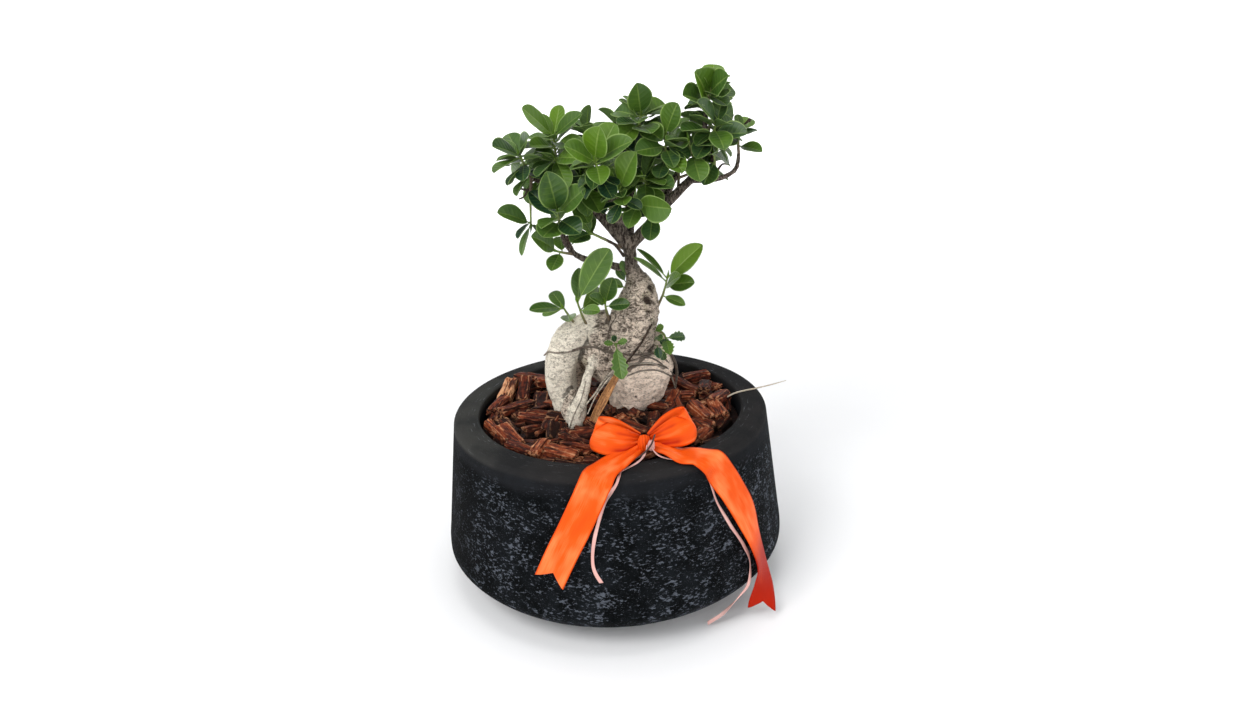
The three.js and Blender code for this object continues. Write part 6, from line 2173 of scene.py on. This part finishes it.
    def blade(self, shape: Shape, leaf: Leaf, shoot: Shoot, dice: Dice) -> None:
        """Adds a leaf's blade: arched, folded along its midrib and waved at its margin.

        Args:
            shape: The shoot's shape.
            leaf: The leaf.
            shoot: The shoot that it grows on.
            dice: Random numbers for its own form.
        """
        leaf.length *= shoot.short
        x, v = LEAF_ALONG, LEAF_ACROSS
        base_power, tip_power = dice.within(*self.base_power), dice.within(*self.tip_power)
        peak = base_power / (base_power + tip_power)
        highest = peak**base_power * (1 - peak) ** tip_power
        outline = x**base_power * (1 - x) ** tip_power / highest
        outline = outline * (1 - shoot.teeth * np.abs(np.sin(4.5 * math.pi * x + 0.5)))
        outline = np.maximum(outline, 0.45 / leaf.width)
        t = (self.blade_from + (1 - self.blade_from) * x)[:, None]
        half = (shoot.broad * leaf.width / 2 * outline)[:, None] * v[None]
        phase, waves = dice.within(0, TAU), dice.within(*self.waves)
        ripple = np.sin(TAU * waves * t + phase + (v > 0) * 1.9) * np.abs(v) ** 3
        curl, twist, lean = dice.within(-0.01, 0.05), dice.spread(0.2), dice.spread(0.05)
        fold = leaf.fold + dice.within(-0.04, 0.34)
        lift = fold * (np.sqrt(half**2 + 0.6) - 0.77) - leaf.arch * leaf.length * t**2
        lift = lift + 0.018 * leaf.width * ripple * outline[:, None]
        lift = lift - curl * leaf.length * np.maximum(t - 0.55, 0) ** 2 * 3 + half * twist * t
        sway = half + lean * leaf.length * np.maximum(t - self.sway_from, 0) ** 2
        spot = leaf.base + t[..., None] * leaf.length * leaf.direction
        spot = spot + lift[..., None] * leaf.face + sway[..., None] * leaf.across
        body = self.thick * (0.5 - 0.24 * np.abs(v) ** 3)
        above = body - self.groove * np.exp(-((v / 0.06) ** 2))
        grids = [spot + above[None, :, None] * leaf.face, spot - body[None, :, None] * leaf.face]
        points = np.array(grids).reshape(-1, 3)
        map_of = np.broadcast_arrays(t, v[None])
        place = np.array([np.dstack([*map_of, np.full(half.shape, side)]) for side in (1.0, -1.0)])
        fresh = float(np.clip(leaf.fresh + dice.spread(0.16), 0, 1))
        shape.add(points, sheet_faces(*half.shape, 1), 0, place=place.reshape(-1, 3),
                  tone=dice.roll(), fresh=fresh, young=0.0)
        self.stalk(shape, leaf, lean, fresh)

    def stalk(self, shape: Shape, leaf: Leaf, lean: float, fresh: float) -> None:
        """Adds a leaf's stalk, which runs on as the midrib under the blade.

        Args:
            shape: The shoot's shape.
            leaf: The leaf.
            lean: How far the blade leans sideways.
            fresh: How fresh its green is.
        """
        t, radius = STALK_ALONG, STALK_RADIUS * min(1, leaf.length / 20)
        drop = leaf.arch * leaf.length * t**2 + 0.28 * eased(t, 0.12, 0.3)
        sway = lean * leaf.length * np.maximum(t - self.sway_from, 0) ** 2
        centre = leaf.base + t[:, None] * leaf.length * leaf.direction - drop[:, None] * leaf.face
        centre = centre + sway[:, None] * leaf.across
        angle = np.arange(self.stalk_sides) / self.stalk_sides * TAU
        ring = np.cos(angle)[:, None] * leaf.face - np.sin(angle)[:, None] * leaf.across
        rings = centre[:, None] + radius[:, None, None] * ring[None]
        place = np.stack([t, np.zeros(len(t)), np.ones(len(t))], 1)
        place = np.repeat(place[:, None], self.stalk_sides, axis=1)
        shape.loft(rings, 0, place=place, tone=0.5, fresh=min(fresh + 0.15, 1.0), young=0.0)

    def stem(self, shape: Shape, shoot: Shoot) -> None:
        """Adds a shoot's stem with its end bud.

        Args:
            shape: The shoot's shape.
            shoot: The shoot.
        """
        rows = shoot.stem()
        count = max(6, math.ceil(route_length(rows) / 1.5))
        rings = round_rings(rows, count, 10, 0.04, count)
        shape.loft(rings, 1, young=np.linspace(0, 1, count), tone=0.5, fresh=0.0)
        end, axis = rows[-1, :3], self.tip_axis(rows)
        bend = square_to(axis, UP)
        bud = [np.r_[end + axis * out + bend * aside, radius] for out, aside, radius in BUD]
        rings = round_rings(bud, self.bud_rings, self.bud_sides)
        place = np.zeros(rings.shape) + (0.5, 0.4, 1.0)
        shape.loft(rings, 0, place=place, tone=0.9, fresh=min(1.0, shoot.fresh + 0.4), young=1.0)

    def build(self, leaf_finish: LeafFinish, stem_finish: StemFinish) -> list[bpy.types.Object]:
        """Grows all shoots, one piece for each node.

        Args:
            leaf_finish: Finish of the leaves.
            stem_finish: Finish of the stems.

        Returns:
            The pieces.
        """
        materials = leaf_finish.material(), stem_finish.material()
        leaves = self.place()
        pieces = []
        for shoot in SHOOTS:
            shape = Shape()
            dice = Dice(shoot.seed * 977)
            self.stem(shape, shoot)
            for leaf in (*leaves, *self.sprig_leaves(shoot)):
                if leaf.owner == shoot.name:
                    self.blade(shape, leaf, shoot, dice)
            piece = shape.mesh(f"leaves_{shoot.name}")
            pieces.append(settled(piece, "leaf", f"shoot_{shoot.name}", *materials))
        return pieces


# Ribbons and small things


def hang(x: float, z: float, slope: float, off: float, turn: int = 1) -> list[float]:
    """Row of a ribbon that hangs down the front of the pot.

    Args:
        x: Place across.
        z: Height.
        slope: How its width leans.
        off: Distance from the wall.
        turn: 1 or -1, the way its width runs.

    Returns:
        The row: place, share of the full width and the direction across.
    """
    radius = Pot().wall_at(z) + off
    y = -math.sqrt(radius * radius - x * x)
    return [x, y, z, 1, turn * -y / radius, turn * x / radius, slope]


BOW: dict[str, Rows] = {
    "left_loop": [[28, -110, 180, 0.357, 0.1, 0.3, 0.9], [14, -116, 183, 0.82, 0.1, 0.4, 0.9],
                  [-1, -117, 186, 1, 0.25, 0.5, 0.85], [-12, -111, 187.5, 1, 0.42, 0.45, 0.85],
                  [-8, -104, 187.5, 1, 0.36, 0.45, 0.85], [6, -104, 185, 0.929, 0.15, 0.4, 0.9],
                  [28, -107, 181, 0.357, 0.1, 0.3, 0.9]],
    "right_loop": [[37, -110, 180, 0.357, -0.1, 0.3, 0.9], [50, -115, 186, 0.75, -0.3, 0.4, 0.85],
                   [64, -114, 190.5, 0.98, -0.42, 0.42, 0.8],
                   [74.5, -106, 191.5, 1, -0.5, 0.42, 0.78],
                   [70, -98, 192, 1, -0.45, 0.42, 0.8], [54, -102, 188, 0.857, -0.35, 0.4, 0.85],
                   [36.6, -107.6, 181, 0.357, -0.1, 0.3, 0.9]],
    "left_tail": [[30, -113, 178, 0.357, 0.6, -0.5, -0.4],
                  [17, -125, 175.5, 0.714, 0.75, -0.65, -0.05],
                  [4, -139, 173.4, 0.964, 0.88, -0.45, 0], [-6, -153, 172.6, 1, 0.96, -0.25, -0.06],
                  [-12, -162, 166, 1, 0.93, 0, -0.3], hang(-19, 150, -0.45, 4),
                  hang(-32, 123, -0.45, 3.6), hang(-44, 99, -0.45, 3.4), hang(-56, 73, -0.45, 3.4)],
    "right_tail": [[36, -113, 178, 0.357, 0.2, -0.9, -0.3],
                   [50, -121, 177, 0.714, 0.1, -0.98, -0.1],
                   [63, -127, 173.8, 0.964, 0.05, -0.99, -0.08],
                   [77, -130, 173.4, 1, -0.28, -0.95, -0.08],
                   [90, -134, 168, 1, -0.64, -0.7, -0.28], hang(99, 153, -0.3, 4.5, -1),
                   hang(109, 135, -0.22, 5, -1), hang(121, 109, -0.1, 6, -1),
                   [131, -117, 80, 1, -0.45, -0.88, 0.1], [138, -115, 52, 1, -0.4, -0.88, 0.2],
                   [139, -121, 30, 1, -0.68, -0.5, 0.4], [136, -130, 10, 0.929, -0.75, 0.3, 0.6]],
}
TIES: dict[str, Rows] = {
    "left": [[35, -124.5, 182, 1, 0.3, 0, 0.95], [31, -129, 175, 0.6, 0.6, -0.5, 0],
             [24, -135, 170.9, 0.5, 0.8, -0.5, 0], [12, -148, 170.8, 0.55, 0.9, -0.4, 0],
             [9, -155.6, 169.7, 0.7, 0.9, -0.2, -0.1], [6, -159, 165, 0.9, 0.95, 0, -0.2],
             hang(1, 156, -0.3, 1), hang(-5, 146, -0.3, 1), hang(-11, 129, -0.3, 1),
             hang(-15, 110, -0.1, 1), hang(-16, 89, 0, 2), hang(-10, 75, 0.6, 3)],
    "right": [[37, -124.5, 182, 1, 0.3, 0, 0.95], [44.5, -129.5, 174.5, 0.6, 0, -0.9, 0],
              [58, -132, 171.3, 0.6, -0.3, -0.9, 0], [73, -136.5, 170.9, 0.7, -0.6, -0.7, 0],
              hang(84, 159, 0, 1, -1), hang(89, 147, 0, 1, -1), hang(95, 127, 0.2, 1, -1),
              hang(108, 98, 0.3, 1.2, -1), hang(121, 72, 0.4, 1.6, -1), hang(127, 54, 0, 2, -1),
              [124, -129, 40, 1, -0.8, -0.4, -0.4], [114, -133, 26, 1, -0.6, -0.4, -0.6],
              [99, -136, 12, 1, -0.5, -0.4, -0.7], [84, -138, 3.2, 1, -0.4, -0.6, -0.5]],
}


class End(Enum):
    """How a ribbon's far end is cut."""

    PLAIN = "plain"
    SWALLOW = "swallow tail"
    SLANT = "slant"


@dataclass
class Strip:
    """A flat strip of ribbon along rows of place, share of its width and direction across."""

    rows: Rows
    width: float
    thick: float
    end: End = End.PLAIN
    notch: float = 9.0
    folds: float = 0.0
    fold_depth: float = 0.0
    cup: float = 0.0
    step: float = 1.6
    columns: int = 13
    shade_from: float = 2.0
    crease_shade: float = 0.0
    groove: float = 0.0
    twist: float = 0.0
    twist_waves: float = 5.0
    away: float = 1.0
    drawn: float = 0.0

    def length(self) -> float:
        """Its length along the middle."""
        return route_length(self.rows, 120)

    def cut_places(self, t: np.ndarray, v: np.ndarray) -> np.ndarray:
        """Places of the grid along the strip, drawn back where the far end is cut away.

        Args:
            t: Even places along the strip.
            v: Places across it, from -1 to 1.

        Returns:
            One row of places for each one along.
        """
        back = {End.PLAIN: np.zeros_like(v), End.SWALLOW: 1 - np.abs(v),
                End.SLANT: (1 - v) / 2}[self.end]
        draw = self.notch / self.length() * back
        return t[:, None] - draw[None] * eased(t, 0.72, 1.0)[:, None]

    def add_to(self, shape: Shape, start: float = 0.0) -> float:
        """Adds the strip to a shape.

        Args:
            shape: The ribbon's shape.
            start: Where this strip starts on the whole ribbon.

        Returns:
            Its length.
        """
        length = self.length()
        count = max(12, math.ceil(length / self.step))
        t, v = np.linspace(0, 1, count), np.linspace(-1, 1, self.columns)
        flat = self.cut_places(t, v).ravel()
        row = along(self.rows, flat)
        ahead = along(self.rows, np.minimum(flat + 0.01, 1))
        behind = along(self.rows, np.maximum(flat - 0.01, 0))
        tangent = unit(ahead[:, :3] - behind[:, :3])
        across = square_to(tangent, row[:, 4:7])
        out = np.cross(tangent, across)
        side, share = np.tile(v, count), row[:, 3]
        turn = (self.twist * np.sin(TAU * self.twist_waves * flat + 1.0))[:, None]
        sine, cosine = np.sin(turn), np.cos(turn)
        across, out = across * cosine + out * sine, out * cosine - across * sine
        gather = np.clip(1 - share, 0, 1) ** 0.6
        wave = np.cos(side * self.folds * math.pi + 0.7 + 2.2 * flat)
        lift = self.fold_depth * gather * wave + self.cup * side**2 * share
        lift = lift + np.abs(np.sin(turn[:, 0])) * self.width / 2 * share * self.away
        dents = np.exp(-(((side + 0.66) / 0.14) ** 2)) + 0.8 * np.exp(-(((side - 0.5) / 0.13) ** 2))
        dents = dents * (1 - 0.75 * eased(share, 0.9, 1.0)) * np.clip(self.groove, 0, 1)
        lift = lift - self.groove * dents
        centre = row[:, :3] + across * (side * share * self.width / 2)[:, None]
        centre = centre + out * lift[:, None]
        outward = unit(along(self.rows, 0.5)[0, :3] - np.array(self.rows[0][:3]))
        pull = self.drawn * (side**2 - 0.25) * np.exp(-(((flat - 0.5) / 0.2) ** 2))
        centre = centre - outward * pull[:, None]
        half = out * self.thick / 2
        points = np.vstack([centre + half, centre - half])
        run = start + flat * length
        cloth = np.tile(np.stack([run, side * self.width / 2, np.zeros(len(run))], 1), (2, 1))
        # Painted shade: past shade_from the strip turns to its shade colour, and its creases and
        # grooves get painted shade too
        shade = eased(flat, self.shade_from, self.shade_from + 0.12)
        shade = shade + self.crease_shade * (gather * (0.5 - 0.5 * wave) ** 2 + 0.8 * dents)
        shade = np.tile(np.clip(shade, 0, 1), 2)
        shape.add(points, sheet_faces(count, self.columns), 0, cloth=cloth, shade=shade)
        return length


@dataclass
class Bow:
    """Satin bow with two loops, a pleated knot and two swallow-tailed tails."""

    width: float = 28.0
    thick: float = 0.45
    shaded_tail: str = "right_tail"
    shade_from: float = 0.7
    knot: Rows = ((31.2, -113.5, 174.4, 3.4), (31.2, -115.5, 176, 4.4), (31.3, -116.4, 180, 4.9),
                  (31.6, -115.6, 184, 4.5), (31.8, -113.6, 186, 3.4))
    knot_rings: int = 16
    knot_sides: int = 54
    pleats: int = 11
    pleat_depth: float = 0.17
    pleat_drift: float = 0.9

    def strip(self, name: str) -> Strip:
        """One strip of the bow's ribbon.

        Args:
            name: Its name in the bow's rows.

        Returns:
            The strip, a tail or a loop.
        """
        rows = BOW[name]
        if not name.endswith("tail"):
            return Strip(rows, self.width, self.thick, folds=3.4, fold_depth=2.4, cup=-1.2,
                         crease_shade=1.0, groove=1.7, drawn=6.5)
        tail = Strip(rows, self.width, self.thick, End.SWALLOW, folds=2.6, fold_depth=1.9, cup=0.6,
                     crease_shade=0.5)
        # The shaded tail gets painted shade on its far end, where it turns away from the light
        return replace(tail, shade_from=self.shade_from) if name == self.shaded_tail else tail

    def build(self, finish: SatinFinish) -> tuple[bpy.types.Object, float]:
        """Ties the bow.

        Args:
            finish: Its satin.

        Returns:
            The bow and the ribbon's whole length in millimetres.
        """
        shape = Shape()
        total = 0.0
        for name in BOW:
            total += self.strip(name).add_to(shape, total)
        rings = round_rings(self.knot, self.knot_rings, self.knot_sides)
        centre = rings.mean(axis=1, keepdims=True)
        angle = np.arange(self.knot_sides) / self.knot_sides * TAU
        drift = np.linspace(0, self.pleat_drift, self.knot_rings)[:, None]
        pleat = 1 + self.pleat_depth * np.abs(np.sin((angle[None] + drift) * self.pleats / 2))
        rings = centre + (rings - centre) * pleat[..., None]
        run, turn = np.broadcast_arrays(np.linspace(0, 16, self.knot_rings)[:, None], angle * 2)
        # Painted shade in the valleys between the pleats
        shade = np.clip(1.25 - 6 * (pleat - 1), 0, 1) * 0.6
        shape.loft(rings, 0, cloth=np.dstack([run, turn, run * 0]), shade=shade)
        return settled(shape.mesh("satin_bow"), "ribbon", "ribbon_bow", finish.material()), total


@dataclass
class Ties:
    """Narrow satin ribbon knotted over the bow, with two long tails."""

    width: float = 3.2
    thick: float = 0.5
    knot: Rows = ((37.5, -123.4, 177.6, 1.9), (37.5, -124, 180, 3.0), (37.6, -124, 184, 3.0),
                  (37.8, -123.4, 186.6, 1.9))

    def build(self, finish: SatinFinish) -> bpy.types.Object:
        """Ties the narrow ribbon.

        Args:
            finish: Its satin.

        Returns:
            The tie ribbon.
        """
        shape = Shape()
        total = 0.0
        for rows in TIES.values():
            strip = Strip(rows, self.width, self.thick, End.SLANT, 2.5, cup=0.35, step=1.2,
                          columns=7, twist=0.6, twist_waves=3.6, away=0.5)
            total += strip.add_to(shape, total)
        rings = round_rings(self.knot, 14, 24, 0.07, 8)
        cloth = np.dstack([rings[..., 2], rings[..., 0], rings[..., 1] * 0])
        shape.loft(rings, 0, cloth=cloth, shade=0.0)
        return settled(shape.mesh("narrow_ribbon"), "tie", "tie_ribbon", finish.material())


@dataclass
class Thread:
    """A thin round piece that replaces one node."""

    name: str
    node: str
    slot: str
    rows: Rows
    count: int = 40
    sides: int = 12
    lobes: float = 0.03

    def build(self, finish: DryFinish) -> bpy.types.Object:
        """Draws the thread.

        Args:
            finish: Its finish.

        Returns:
            The piece.
        """
        shape = Shape()
        rings = round_rings(self.rows, self.count, self.sides, self.lobes, self.count / 4)
        run = np.linspace(0, route_length(self.rows), self.count)
        run, turn = np.broadcast_arrays(run[:, None], np.arange(self.sides) * 0.3)
        shape.loft(rings, 0, cloth=np.dstack([run, turn, run * 0]))
        return settled(shape.mesh(self.name), self.slot, self.node, finish.material())


@dataclass
class Husk:
    """Dry split strip that leans on the roots: a shallow trough with a frayed edge."""

    width: float = 8.0
    thick: float = 1.3
    rows: Rows = ((8, -20, 208, 0.8, 0.8, 0.5, 0.5), (2, -24, 199, 1, 0.8, 0.5, 0.4),
                  (-6, -31, 187, 1.12, 0.8, 0.5, 0.3), (-15, -40, 173, 1, 0.8, 0.5, 0.2),
                  (-20, -46, 160, 0.8, 0.8, 0.5, 0.2))

    def build(self, finish: DryFinish) -> bpy.types.Object:
        """Shapes the husk.

        Args:
            finish: Its finish.

        Returns:
            The husk.
        """
        shape = Shape()
        Strip(self.rows, self.width, self.thick, End.SWALLOW, notch=5.0, folds=2.0, fold_depth=1.2,
              cup=1.4, step=1.0, columns=15).add_to(shape)
        return settled(shape.mesh("dry_husk"), "husk", "husk", finish.material())


# The studio

# Soft lamps: place and side in metres, and watts
LAMPS = {"key": ((-0.9, -1.1, 1.7), 0.9, 22), "fill": ((1.5, -1.0, 0.9), 1.4, 4),
         "top": ((0.0, 0.2, 2.0), 1.2, 11)}


@dataclass
class Studio:
    """Plain pale sweep, soft light and the camera at the photograph's view."""

    focal: float = 821.0
    elevation: float = 20.2
    roll: float = -2.2
    distance: float = 800.0
    shift_x: float = -23.8
    shift_y: float = 44.4
    target: tuple[float, float, float] = (0.0, 0.0, 270.0)
    frame_width: float = 1260.0
    floor_flat: float = 1.9
    floor_curve: float = 0.9
    floor_wall: float = 0.6
    floor_sides: int = 128
    floor_sunk: float = 0.2
    sensor: float = 36.0
    sky: Colour = (0.96, 0.98, 1.0, 1.0)
    world_strength: float = 0.45

    def floor(self, finish: FloorFinish) -> None:
        """Makes a round floor whose edge curves up into a low wall.

        Args:
            finish: Its finish.
        """
        line = [(r, 0.0) for r in (0.02, 0.3, 0.8, 1.3, self.floor_flat)]
        for angle in np.linspace(0, TAU / 4, 13)[1:]:
            line.append((self.floor_flat + self.floor_curve * math.sin(angle),
                         self.floor_curve * (1 - math.cos(angle))))
        line.append((self.floor_flat + self.floor_curve, self.floor_curve + self.floor_wall))
        rings = turned(np.array(line), self.floor_sides) * 1000
        rings[..., 2] -= self.floor_sunk
        here = np.arange(self.floor_sides)
        after = np.roll(here, -1)
        quads = np.stack([here, here + self.floor_sides, after + self.floor_sides, after], 1)
        faces = []
        for ring in range(len(line) - 1):
            faces += (quads + ring * self.floor_sides).tolist()
        shape = Shape()
        shape.add(rings.reshape(-1, 3), [*faces, here.tolist()])
        floor = shape.mesh("studio_sweep")
        floor.data.materials.append(finish.material())
        floor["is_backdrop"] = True

    def camera(self) -> None:
        """Sets the camera at the photograph's view."""
        e, r = math.radians(self.elevation), math.radians(self.roll)
        right, up = Vector((1, 0, 0)), Vector((0, math.sin(e), math.cos(e)))
        back = Vector((0, -math.cos(e), math.sin(e)))
        x_axis = right * math.cos(r) + up * math.sin(r)
        y_axis = up * math.cos(r) - right * math.sin(r)
        spot = Vector(self.target) + self.distance * back
        spot -= self.shift_x * x_axis + self.shift_y * y_axis
        data = bpy.data.cameras.new("photo_camera")
        data.sensor_width = self.sensor
        data.lens = self.focal / self.frame_width * self.sensor
        data.clip_start, data.clip_end = 0.01, 50.0
        camera = bpy.data.objects.new("photo_camera", data)
        turn = Matrix((x_axis, y_axis, back)).transposed().to_4x4()
        camera.matrix_world = Matrix.Translation(spot / 1000) @ turn
        bpy.context.scene.collection.objects.link(camera)
        bpy.context.scene.camera = camera

    def lamp(self, name: str, spot: Sequence[float], size: float, power: float) -> None:
        """Hangs a soft square light that looks at the plant.

        Args:
            name: Its name.
            spot: Where it hangs, in metres.
            size: Length of its side in metres.
            power: Its power in watts.
        """
        data = bpy.data.lights.new(name, "AREA")
        data.shape, data.size, data.energy = "SQUARE", size, power
        lamp = bpy.data.objects.new(name, data)
        lamp.location = spot
        aim = Vector(self.target) / 1000 - Vector(spot)
        lamp.rotation_euler = aim.to_track_quat("-Z", "Y").to_euler()
        bpy.context.scene.collection.objects.link(lamp)

    def build(self, finish: FloorFinish) -> None:
        """Sets up the floor, the light and the camera.

        Args:
            finish: The floor's finish.
        """
        self.floor(finish)
        self.camera()
        for name, (spot, size, power) in LAMPS.items():
            self.lamp(name, spot, size, power)
        world = bpy.data.worlds.new("soft_sky")
        world.use_nodes = True
        sky = world.node_tree.nodes["Background"]
        sky.inputs["Color"].default_value = self.sky
        sky.inputs["Strength"].default_value = self.world_strength
        scene = bpy.context.scene
        scene.world = world
        scene.view_settings.view_transform = "Standard"
        scene.view_settings.look = "None"


def paint_soil(frame: Mapping[str, Any], finish: SoilFinish) -> None:
    """Gives the soil's own solid its material.

    Args:
        frame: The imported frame.
        finish: The soil's finish.
    """
    node = frame["nodes"]["soil"]
    material = finish.material()
    if not node.material_slots:
        node.data.materials.append(material)
    for slot in node.material_slots:
        slot.material = material


# Finishes and rows of the small pieces

# Each satin: its painted highlight colour, its own colour and its painted shade colour
ORANGE_SATIN = SatinFinish("orange_satin", glow=colour(252, 144, 84), bright=colour(232, 84, 16),
                           painted_shade=colour(166, 28, 2), roughness=0.42, gloss=0.08)
PINK_SATIN = SatinFinish("pink_satin", glow=colour(236, 196, 188), bright=colour(216, 166, 158),
                         painted_shade=colour(140, 88, 82), roughness=0.42)
DARK_WIRE = DryFinish("dark_wire", light=colour(70, 38, 26), dark=colour(30, 16, 12), roughness=0.5)
DRY_STRAW = DryFinish("straw", light=colour(206, 196, 178), dark=colour(150, 134, 112))
DRY_HUSK = DryFinish("husk", light=colour(210, 152, 92), dark=colour(96, 54, 28))
WIRE: Rows = ((41, -125, 193, 0.7), (38, -128.6, 186.5, 0.8), (34, -130, 181, 0.8),
              (29, -132, 177.4, 0.75), (23.5, -136, 175.6, 0.5))
STRAW: Rows = ((104, 6, 158, 0.9), (126, 9, 170.5, 0.85), (150, 11, 175, 0.75),
               (168, 11.8, 178.6, 0.6), (181, 12, 182, 0.35))


def main() -> None:
    """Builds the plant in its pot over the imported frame, and reports each piece."""
    logging.basicConfig(level=logging.INFO, format="%(name)s: %(message)s")
    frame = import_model()
    cad_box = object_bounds()
    Studio().build(FloorFinish())
    report(Pot().build(StoneFinish()))
    paint_soil(frame, SoilFinish())
    report(Mulch().build(ChipFinish()))
    report(Trunk().build(BarkFinish()))
    for shoot in Foliage().build(LeafFinish(), StemFinish()):
        report(shoot)
    bow, ribbon = Bow().build(ORANGE_SATIN)
    ties = Ties().build(PINK_SATIN)
    wire = Thread("thin_wire", "tie_wire", "wire", WIRE).build(DARK_WIRE)
    straw = Thread("dry_straw", "straw", "straw", STRAW, 60).build(DRY_STRAW)
    for piece in (bow, ties, wire, straw, Husk().build(DRY_HUSK)):
        report(piece)
    ribbon / 1000
    boxes = {"cad": [list(corner) for corner in cad_box],
             "visual": [list(corner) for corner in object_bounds()]}
    LOG.info("ribbon %.0f mm long; boxes %s", ribbon, boxes)


if __name__ == "__main__":
    main()
